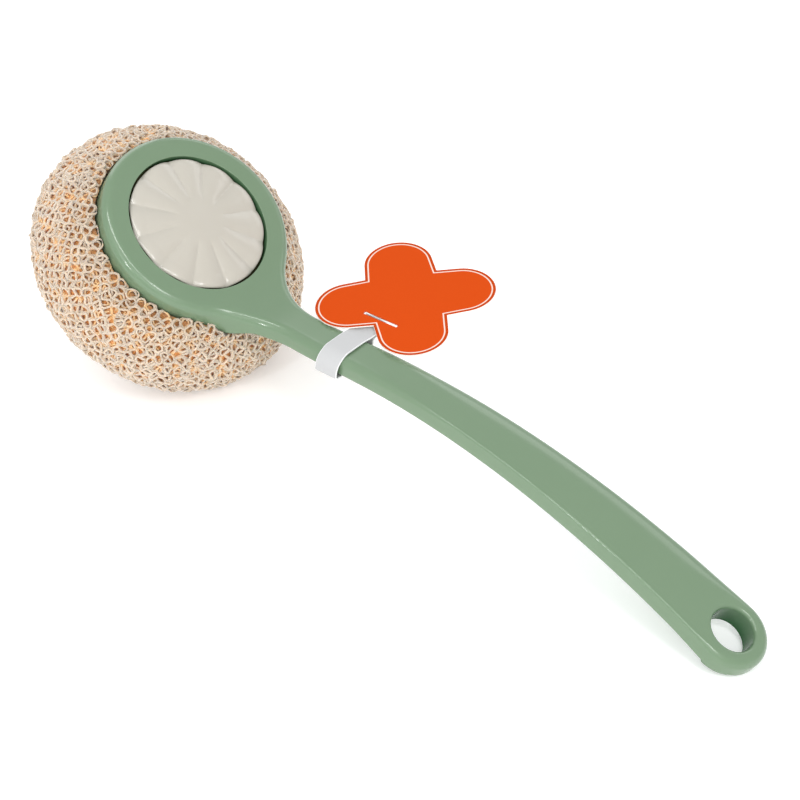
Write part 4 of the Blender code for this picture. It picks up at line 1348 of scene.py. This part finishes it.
    def clear(self, head_points: Array) -> Array:
        """Keep strands out of the ring and the neck, and above the worktop.

        Points beside the ring move out to its wall. Points under the neck move down until the
        neck's underside clears them. Nothing goes below the worktop.

        Args:
            head_points: Points in the head's axes.

        Returns:
            World points.
        """
        points = head_points.copy()
        radius = np.hypot(points[..., 0], points[..., 1])
        wall = self.handle.ring_r + self.ring_gap
        beside = ((points[..., 2] > -self.handle.ring_depth - self.ring_low_gap)
                  & (radius < wall))
        push = np.where(beside, wall / np.maximum(radius, MM), 1.0)
        points[..., :2] *= push[..., None]
        world = from_head(points)
        line = self.handle.line
        keep = (line.along > self.neck_span[0]) & (line.along < self.neck_span[1])
        along = line.along[keep]
        under = line.carry(along, 0.0, -self.handle.depth(along) - self.neck_gap)
        order = np.argsort(under[:, 0])
        limit = np.interp(world[..., 0], under[order, 0], under[order, 2], left=1.0)
        station = np.interp(world[..., 0], under[order, 0], along[order])
        half = np.where(station < self.handle.neck_along, self.neck_width(station),
                        self.handle.half(station)) + self.side_gap
        pressed = 1.0 - smoothstep(np.abs(world[..., 1]), half, half + self.side_ease)
        over = np.maximum(world[..., 2] - limit, 0.0)
        over = np.where(station > self.handle.cavity_r, over, 0.0)
        world[..., 2] = np.maximum(world[..., 2] - over * pressed, self.floor_gap)
        return world

    def neck_width(self, along: Array) -> Array:
        """Return the half width of the hollow neck, from the hollow's circle.

        Args:
            along: Distance along the handle.

        Returns:
            Half widths.
        """
        handle = self.handle
        middle = handle.neck_half + handle.hollow_r
        away = np.clip(along - handle.neck_along, -handle.hollow_r, 0.0)
        return middle - np.sqrt(handle.hollow_r ** 2 - away ** 2)

    def build_layer(self, layer: NetLayer, profile: Array) -> None:
        """Make one layer's loops as pieces of a moderate size.

        All loops have the same faces. They are turned round if the first loop's volume, a sum of
        a . (b x c) over its faces, comes out below 0.

        Args:
            layer: Sizes of the layer.
            profile: Section of the surface that it lies on.
        """
        tube, depth, tone_and_shade = self.loops(layer, profile)
        world = self.clear(tube)
        base = quads(layer.segments, layer.sides, wrap_rows=True, wrap_cols=True)
        a, b, c = (world[0].reshape(-1, 3)[corner] for corner in base.T[:3])
        if (a * np.cross(b, c)).sum() < 0:
            base = base[:, ::-1]
        ring = layer.segments * layer.sides
        for part in range(layer.parts):
            own = slice(part, None, layer.parts)
            count = len(world[own])
            name = f"{layer.name}_{part + 1}"
            mesh = bpy.data.meshes.new(name)
            faces = (base[None] + ring * np.arange(count)[:, None, None]).reshape(-1, 4)
            mesh.from_pydata(world[own].reshape(-1, 3), [], faces.tolist())
            mark_points(mesh, "depth", depth[own].reshape(-1))
            mark_points(mesh, "tone_and_shade", np.repeat(tone_and_shade[own], ring))
            show(name, mesh, NET_FIBRE, Body.BALL, sharp=180)

    def build_core(self) -> None:
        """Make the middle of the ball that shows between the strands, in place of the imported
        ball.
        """
        skin = self.skin_profile(self.core_depth)
        well_r, well_end = self.well_r + self.core_wall, self.well_depth - self.core_wall
        dish_end = self.dish_height - self.core_wall
        profile = np.concatenate([
            [(0.0, well_end), (well_r, well_end), (well_r, dish_end), (self.core_dish_r, dish_end)],
            skin[:1] - [(self.lip_r - self.core_edge_r, 0.0)], skin[::6], skin[-1:] * [0.0, 1.0]])
        shell = Shell()
        shell.add(self.clear(turned_grid(profile, self.core_steps)), wrap_cols=True)
        mesh = shell.mesh("net_core")
        corners = np.empty(3 * len(mesh.vertices), np.float32)
        mesh.vertices.foreach_get("co", corners)
        # painted shade: the core's tone darkens towards the ring's wall; its depth mark lies past
        # the deepest, so it takes the painted deep colour
        shade = self.shaded(to_head(corners.reshape(-1, 3).astype(float)))
        mark_points(mesh, "depth", self.core_mark)
        mark_points(mesh, "tone_and_shade", SHADED_TONE * shade)
        show("net_core", mesh, NET_FIBRE, Body.BALL, ("scrub_ball",))

    def build(self) -> None:
        """Make the core, the layers over it and the net inside the dish."""
        self.build_core()
        for layer in self.layers:
            self.build_layer(layer, self.skin_profile(layer.depth))
        self.build_layer(self.dish_layer, self.dish_profile())


@dataclass
class BallTie:
    """The gathered stalk in the ball's middle and the thread wound round its foot."""

    radius: float = 3.9 * MM
    top: float = -32.0 * MM
    foot: float = -41.2 * MM
    foot_share: float = 0.8
    waist_share: float = 0.12
    round_share: float = 0.14
    pleats: int = 13
    pleat_steps: int = 10
    pleat_share: float = 0.09
    pleat_twist: float = 1.2
    fibre_mark: float = 0.8
    thread_r: float = 0.45 * MM
    thread_gap: float = 0.9 * MM
    thread_rise: float = 0.75 * MM
    turns: int = 2
    turn_steps: int = 96
    strands: int = 2
    strand_share: float = 0.16
    strand_twists: int = 24
    sway_out: float = 0.3
    sway_up: float = 0.6

    def build(self) -> None:
        """Make the pleated stalk and the wound thread.

        The stalk narrows at its waist, widens a little upwards and ends in a round top.
        """
        way = np.linspace(0.0, 1.0, 28)
        height = self.foot + (self.top - self.foot) * way
        body = self.radius * (self.foot_share - self.waist_share * np.sin(math.pi * way)
                              + self.waist_share * way)
        past = ((way - (1.0 - self.round_share)) / self.round_share).clip(0.0, 1.0)
        radius = body * np.sqrt(1.0 - past ** 2)
        steps = self.pleats * self.pleat_steps
        angle = np.linspace(0.0, math.tau, steps, endpoint=False)
        # the pleats lean as they rise
        twisted = angle[None] + self.pleat_twist * way[:, None]
        reach = radius[:, None] * (1.0 + self.pleat_share * np.cos(self.pleats * twisted))
        grid = np.stack([reach * np.cos(angle), reach * np.sin(angle),
                         np.repeat(height[:, None], steps, 1)], -1)
        cap = np.broadcast_to([0.0, 0.0, self.foot], (1, steps, 3))
        shell = Shell()
        shell.add(from_head(np.concatenate([cap, grid])), wrap_cols=True)
        mesh = shell.mesh("gathered_stalk")
        # the depth mark gives the stalk the middle layer's painted warm light
        mark_points(mesh, "depth", self.fibre_mark)
        show("gathered_stalk", mesh, NET_FIBRE, Body.BALL, ("gather_knot",))
        self.build_thread()

    def build_thread(self) -> None:
        """Wind the thread: a closed tube whose strands twist round its own middle.

        Its turns lie over one another because the ring that they follow sways once in all of
        them, up and down and a little in and out.
        """
        angle = np.linspace(0.0, math.tau * self.turns, self.turn_steps * self.turns,
                            endpoint=False)[:, None]
        sway = self.thread_r * np.cos(angle / self.turns)
        turn = np.linspace(0.0, math.tau, 8, endpoint=False)[None]
        ridge = self.thread_r * (1.0 + self.strand_share * np.cos(
            self.strands * turn + self.strand_twists * angle))
        reach = self.radius + self.thread_gap + self.sway_out * sway + ridge * np.cos(turn)
        height = self.foot + self.thread_rise + self.sway_up * sway + ridge * np.sin(turn)
        shell = Shell()
        shell.add(from_head(np.stack([reach * np.cos(angle), reach * np.sin(angle), height], -1)),
                  wrap_rows=True, wrap_cols=True)
        show("tie_thread", shell.mesh("tie_thread"), TIE_THREAD, Body.BALL, ("tie_cord",))


@dataclass
class HangTag:
    """The four-lobed card tag with its white line and the slit that takes the strap."""

    reach: float = 65.1 * MM
    side: float = 28.6 * MM
    drop: float = 15.1 * MM
    rise_along: float = math.radians(4.0)
    rise_across: float = math.radians(5.0)
    turn: float = math.radians(1.3)
    lobe_offset: float = 13.0 * MM
    lobe_r: float = 11.45 * MM
    notch_r: float = 17.0 * MM
    long_lobe: float = 0.05
    thick: float = 0.5 * MM
    slit_offset: float = 13.2 * MM
    slit_length: float = 13.8 * MM
    slit_width: float = 1.3 * MM
    lobe_steps: int = 48
    soft_edge: float = 0.06 * MM
    edge_inset: float = 0.02 * MM
    insets: tuple[float, ...] = (1.75, 1.55, 1.4, 1.25, 1.1, 0.9, 0.5, 0.06)
    cut_mark: float = -0.3
    print_mark: float = 3.0

    def place(self) -> Matrix:
        """Return the tag's place: its middle, risen along the handle and across it."""
        middle = Vector(HEAD_PLACE + np.array([self.reach, self.side, -self.drop]))
        return (Matrix.Translation(middle) @ Matrix.Rotation(-self.rise_along, 4, "Y")
                @ Matrix.Rotation(self.rise_across, 4, "X") @ Matrix.Rotation(self.turn, 4, "Z"))

    def outline(self, inset: float) -> Array:
        """Return the outline, moved in by an even distance.

        Each quarter is a notch point and an arc of a lobe that its straight flanks touch. Moved
        in, the arc's radius shrinks by the distance and the notch moves in along its own axis.

        Args:
            inset: Distance in from the cut edge.

        Returns:
            Points (u, v) in the tag's plane.
        """
        gap = np.array([self.notch_r - self.lobe_offset, self.lobe_offset])
        swing = math.acos(self.lobe_r / math.hypot(*gap))
        start = math.atan2(-gap[1], gap[0]) + swing
        end = math.atan2(gap[0], -gap[1]) - swing
        lean = start + math.pi / 2
        notch = [(self.notch_r - inset / math.sin(lean), 0.0)]
        lobe = arc((self.lobe_offset, self.lobe_offset), self.lobe_r - inset,
                   math.degrees(start), math.degrees(end), self.lobe_steps)
        quarter = np.concatenate([notch, lobe])
        turns = [np.array([[math.cos(a), math.sin(a)], [-math.sin(a), math.cos(a)]])
                 for a in np.arange(4) * math.pi / 2]
        whole = np.concatenate([quarter @ turn for turn in turns])
        corner = np.array([-1.0, 1.0]) / math.sqrt(2)
        return whole + self.long_lobe * np.outer(np.maximum(whole @ corner, 0.0), corner)

    def build(self) -> None:
        """Make the card: rings of even inset, filled faces round the slit, and the slit's wall.

        The mark "inset" grows inwards over the printed top, and is below 0 on the cut edge and
        on the bare back.
        """
        half = self.thick / 2
        insets = np.array(self.insets) * MM
        top = [(inset, half) for inset in insets] + [(self.edge_inset, half - self.soft_edge)]
        rows = np.array([np.insert(self.outline(inset), 2, height, axis=1)
                         for inset, height in top + [(d, -h) for d, h in top[::-1]]])
        slit = (np.array([(-1, -1), (-1, 1), (1, 1), (1, -1)])
                * [self.slit_length / 2, self.slit_width / 2] - [0.0, self.slit_offset])
        walls = np.array([np.insert(slit, 2, height, axis=1) for height in (half, -half)])
        count, corners = rows.shape[1], len(slit)
        slit_start = len(rows) * count
        mesh = bpy.data.meshes.new("card_tag")
        mesh.from_pydata(
            np.concatenate([rows.reshape(-1, 3), walls.reshape(-1, 3)]), [],
            np.concatenate([quads(*rows.shape[:2], wrap_cols=True),
                            quads(*walls.shape[:2], wrap_cols=True) + slit_start]).tolist())
        marks = [*self.insets, *[self.cut_mark] * (len(rows) - len(insets))]
        mark_points(mesh, "inset", np.concatenate([
            np.repeat(marks, count), np.repeat([self.print_mark, self.cut_mark], corners)]))
        shape = bmesh.new()
        shape.from_mesh(mesh)
        shape.verts.ensure_lookup_table()
        for ring, hole in ((0, slit_start), (slit_start - count, slit_start + corners)):
            edges = [shape.edges.get((shape.verts[first + i], shape.verts[first + (i + 1) % size]))
                     for first, size in ((ring, count), (hole, corners)) for i in range(size)]
            bmesh.ops.triangle_fill(shape, use_beauty=True, edges=edges)
        bmesh.ops.recalc_face_normals(shape, faces=shape.faces)
        shape.to_mesh(mesh)
        shape.free()
        mesh.transform(self.place())
        show("card_tag", mesh, TAG_CARD, Body.TAG, ("hang_tag",), sharp=30)


@dataclass
class TagStrap:
    """The card strap: a flat strip from the tag's slit round the neck and back under the tag."""

    handle: Handle
    tag: HangTag
    reach: float = 63.8 * MM
    width: float = 8.8 * MM
    gap: float = 0.5 * MM
    tab_height: float = 0.15 * MM
    clearance: float = 0.45 * MM
    slack: float = 0.7 * MM
    white_edge: float = 0.35 * MM
    loose_r: float = 5.4 * MM
    bend_r: float = 1.1 * MM
    lean: float = 1.1 * MM
    soft_edge: float = 0.07 * MM
    edge_mark: float = 0.1
    corner_cut: float = 0.14
    corner_rounds: int = 3

    def path(self) -> Array:
        """Return the strip's middle line as (across, above the handle's top line).

        It runs from the tab in the slit, under the tag, over the neck, round its far side and
        back under it, and ends below its own start.

        Returns:
            Points of the line.
        """
        handle, line = self.handle, self.handle.line
        station = line.at_reach(self.reach)
        thick = self.tag.thick
        lift = self.gap + thick / 2
        half = float(handle.half(np.array(station + self.width / 2))) + lift
        under = -handle.thick - lift
        top_r, low_r = handle.top_fillet + lift, handle.low_fillet + lift
        slit = self.tag.place() @ Vector((0.0, -self.tag.slit_offset, 0.0))
        height = slit.z - float(np.interp(slit.x, line.x, line.z))
        rise = math.tan(self.tag.rise_across)

        def below(across: float, layers: int = 1) -> float:
            """Return the height that lies a number of cards under the tag."""
            return (height - (slit.y - across) * rise
                    - layers * (thick + self.clearance) - self.clearance)

        near = half + thick
        side = near + self.clearance
        loose, round_r = half + self.slack, self.loose_r
        rest = (near + slit.y) / 2
        return np.concatenate([
            [(slit.y, height + self.tab_height), (slit.y, below(slit.y)), (side, below(side)),
             (half - top_r, lift)],
            arc((round_r - loose, lift - round_r), round_r, 90, 180, 12),
            arc((self.bend_r - loose, under + self.bend_r), self.bend_r, 180, 270, 8),
            arc((half - low_r, under + low_r), low_r, 270, 360, 8),
            [(half, -top_r), (side, below(side, 2)), (rest, below(rest, 2))]])

    def rounded(self, path: Array) -> Array:
        """Cut each corner of a line a few times, by a share of the stretches that meet there.

        Args:
            path: Points of the line.

        Returns:
            Points of the rounded line, with the same ends.
        """
        cut, rest = self.corner_cut, 1.0 - self.corner_cut
        for _ in range(self.corner_rounds):
            inner = np.stack([rest * path[:-1] + cut * path[1:],
                              cut * path[:-1] + rest * path[1:]], 1).reshape(-1, 2)
            path = np.concatenate([path[:1], inner[1:-1], path[-1:]])
        return path

    def build(self) -> None:
        """Carry a thin rounded rectangle along the path."""
        path = self.rounded(self.path())
        run = np.gradient(path, axis=0)
        run /= np.linalg.norm(run, axis=1, keepdims=True)
        normal = np.stack([-run[:, 1], run[:, 0]], 1)
        half, thick, edge = self.width / 2, self.tag.thick / 2, self.soft_edge
        face = half - self.white_edge
        section = np.array([(half, edge - thick), (half, thick - edge), (half - edge, thick),
                            (face, thick), (-face, thick), (edge - half, thick),
                            (-half, thick - edge), (-half, edge - thick), (edge - half, -thick),
                            (-face, -thick), (face, -thick), (half - edge, -thick)])
        marks = np.where(np.abs(section[:, 0]) <= face, self.edge_mark, -self.edge_mark)
        station = self.handle.line.at_reach(self.reach)
        # the strip leans towards the head as it goes down the arm's near side
        down = np.clip(-path[:, 1] / self.handle.thick, 0.0, 1.0)
        near = np.clip(0.5 - path[:, 0] / (2 * half), 0.0, 1.0)
        along = station + section[:, 0][None] - self.lean * (down * near)[:, None]
        across = path[:, :1] + normal[:, :1] * section[:, 1][None]
        above = path[:, 1:] + normal[:, 1:] * section[:, 1][None]
        grid = self.handle.line.carry(along, across, above)
        shell = Shell()
        shell.add(closed_ends(grid), wrap_cols=True, mark=marks[None])
        show("card_strap", shell.mesh("card_strap", "inset"), STRAP_CARD, Body.BRUSH,
             ("tag_strap",), sharp=45)


@dataclass
class ReturnSpring:
    """The compression spring under the rod's flange, with a closed turn at either end."""

    radius: float = 5.8 * MM
    wire_r: float = 0.45 * MM
    low: float = -16.35 * MM
    high: float = -8.55 * MM
    turns: int = 5
    closed_pitch: float = 0.95 * MM
    travel: float = 3.4 * MM
    turn_steps: int = 48
    wire_steps: int = 12

    def build(self) -> None:
        """Wind the wire as one closed tube, with a mesh of its own."""
        turn = np.linspace(0.0, self.turns, self.turns * self.turn_steps + 1)[:, None]
        height = np.interp(turn, [0.0, 1.0, self.turns - 1.0, self.turns],
                           [self.low, self.low + self.closed_pitch,
                            self.high - self.closed_pitch, self.high])
        around = np.linspace(0.0, math.tau, self.wire_steps, endpoint=False)[None]
        reach = self.radius + self.wire_r * np.cos(around)
        grid = np.stack([reach * np.cos(math.tau * turn), reach * np.sin(math.tau * turn),
                         height + self.wire_r * np.sin(around)], -1)
        shell = Shell()
        shell.add(from_head(closed_ends(grid)), wrap_cols=True)
        coil = show("coil_spring", shell.mesh("coil_spring"), WIRE_STEEL, Body.BRUSH,
                    ("return_spring",), sharp=60)
        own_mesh(coil)


@dataclass
class Mechanism:
    """The moving and fastening pieces, kept from the CAD with finishes of their own."""

    finishes: tuple[tuple[str, Finish], ...] = (
        ("base_cover", SAGE_GREEN), ("push_rod", NYLON), ("jaw_carrier", NYLON),
        ("clamp_jaw", NYLON), ("cover_screw", BRIGHT_STEEL), ("carrier_screw", BRIGHT_STEEL),
        ("jaw_pin", BRIGHT_STEEL), ("spring_washer", BRIGHT_STEEL))

    def build(self) -> None:
        """Give each node the finish whose name it starts with."""
        for name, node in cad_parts.items():
            for start, finish in self.finishes:
                if name.startswith(start):
                    for slot in node.material_slots:
                        slot.material = finish.material()
                    LOG.info("%s: %s", name, finish.name)


@dataclass(frozen=True)
class Lamp:
    """A soft light that looks at the brush: its place, its sides and its strength in watts."""

    name: str
    place: tuple[float, float, float]
    wide: float
    high: float
    power: float
    gloss_only: bool = False

    def hang(self, target: Vector) -> None:
        """Hang the lamp so that it faces a point.

        Args:
            target: The point.
        """
        light = bpy.data.lights.new(self.name, "AREA")
        light.shape = "RECTANGLE"
        light.size, light.size_y, light.energy = self.wide, self.high, self.power
        holder = place_in_scene(self.name, light)
        holder.visible_diffuse = not self.gloss_only
        facing = (target - Vector(self.place)).to_track_quat("-Z", "Y")
        holder.matrix_world = Matrix.Translation(self.place) @ facing.to_matrix().to_4x4()


@dataclass
class Studio:
    """Pale floor, soft lights and the camera."""

    # solved from where the ring, the bore and the hanging hole lie in the photograph
    camera_place: tuple[float, float, float] = (0.35271, -0.34693, 0.38913)
    camera_right: tuple[float, float, float] = (0.7722, 0.6346, 0.031)
    camera_up: tuple[float, float, float] = (-0.422, 0.4758, 0.7717)
    lens: float = 81.0
    sensor: float = 36.0
    sight: tuple[float, float] = (0.01, 20.0)
    floor_half: float = 3.0
    floor_drop: float = 0.02 * MM
    floor_color: str = "FAFAFA"
    floor_shade: str = "F7F7F7"
    floor_pulp: float = 4.0 * MM
    floor_glow: float = 0.2
    sky_color: str = "F6F8FA"
    sky_strength: float = 0.92
    target: tuple[float, float, float] = (0.07, 0.0, 0.03)
    # the edge and back strips only show as reflections, over the arm's near edge and behind it
    lamps: tuple[Lamp, ...] = (
        Lamp("strip", (0.08, -0.75, 0.42), 0.08, 0.08, 1.10),
        Lamp("glint", (0.58, -0.16, 0.66), 0.20, 0.20, 1.4),
        Lamp("edge_strip", (0.10, -0.30, 0.93), 0.90, 0.10, 4.0, gloss_only=True),
        Lamp("back_strip", (-0.02, 0.83, 0.52), 0.90, 0.28, 1.1, gloss_only=True),
        Lamp("near", (-0.05, -0.28, 0.30), 0.25, 0.25, 0.10),
        Lamp("front", (0.15, -0.60, 0.60), 0.50, 0.50, 0.50),
        Lamp("front_right", (0.55, -0.45, 0.50), 0.50, 0.50, 0.9),
        Lamp("back_left", (-0.60, 0.30, 0.40), 0.50, 0.50, 1.1))

    def build(self) -> None:
        """Make the floor, the lights, the surroundings and the camera."""
        self.build_floor()
        for lamp in self.lamps:
            lamp.hang(Vector(self.target))
        # the photograph's colours are plain sRGB, so the scene shows them unchanged
        bpy.context.scene.view_settings.view_transform = "Standard"
        world = bpy.data.worlds.new("studio")
        bpy.context.scene.world = world
        world.use_nodes = True
        sky = world.node_tree.nodes["Background"]
        sky.inputs["Color"].default_value = linear(self.sky_color)
        sky.inputs["Strength"].default_value = self.sky_strength
        self.build_camera()

    def build_floor(self) -> None:
        """Make a wide pale floor of matt backdrop paper."""
        side = np.array([-self.floor_half, self.floor_half])
        x, y = np.meshgrid(side, side, indexing="ij")
        shell = Shell()
        shell.add(np.stack([x, y, np.full_like(x, -self.floor_drop)], -1))
        floor = place_in_scene("floor", shell.mesh("floor"))
        floor.data.materials.append(make_material("matt_backdrop_paper", self.shade_paper))

    def shade_paper(self, tree: bpy.types.NodeTree) -> bpy.types.Node:
        """Mix two near whites by the paper's pulp, and let it glow a little.

        Args:
            tree: Node tree of the material.

        Returns:
            The shader.
        """
        place = add_node(tree, "ShaderNodeTexCoord").outputs["Object"]
        pulp = add_node(tree, "ShaderNodeTexNoise", {
            "Vector": place, "Scale": 1 / self.floor_pulp})
        tint = add_node(tree, "ShaderNodeMix", {
            0: pulp.outputs["Fac"], 6: linear(self.floor_color), 7: linear(self.floor_shade)},
            data_type="RGBA")
        return add_node(tree, "ShaderNodeBsdfPrincipled", {
            "Base Color": tint.outputs[2], "Roughness": 0.9,
            "Emission Color": linear("FFFFFF"), "Emission Strength": self.floor_glow})

    def build_camera(self) -> None:
        """Put the camera where the photograph was taken from."""
        camera = bpy.data.cameras.new("camera")
        camera.lens, camera.sensor_width = self.lens, self.sensor
        camera.clip_start, camera.clip_end = self.sight
        right = Vector(self.camera_right).normalized()
        up = Vector(self.camera_up)
        up = (up - right * up.dot(right)).normalized()
        holder = place_in_scene("camera", camera)
        turn = Matrix((right, up, right.cross(up))).transposed().to_4x4()
        holder.matrix_world = Matrix.Translation(self.camera_place) @ turn
        bpy.context.scene.camera = holder


def main() -> None:
    """Build the brush and its studio, and report each piece."""
    logging.basicConfig(level=logging.INFO, format="%(name)s %(message)s")
    Studio().build()
    handle = Handle(TopLine())
    tag = HangTag()
    handle.build()
    ReleaseButton().build()
    ScrubBall(handle).build()
    BallTie().build()
    tag.build()
    TagStrap(handle, tag).build()
    ReturnSpring().build()
    Mechanism().build()


if __name__ == "__main__":
    main()
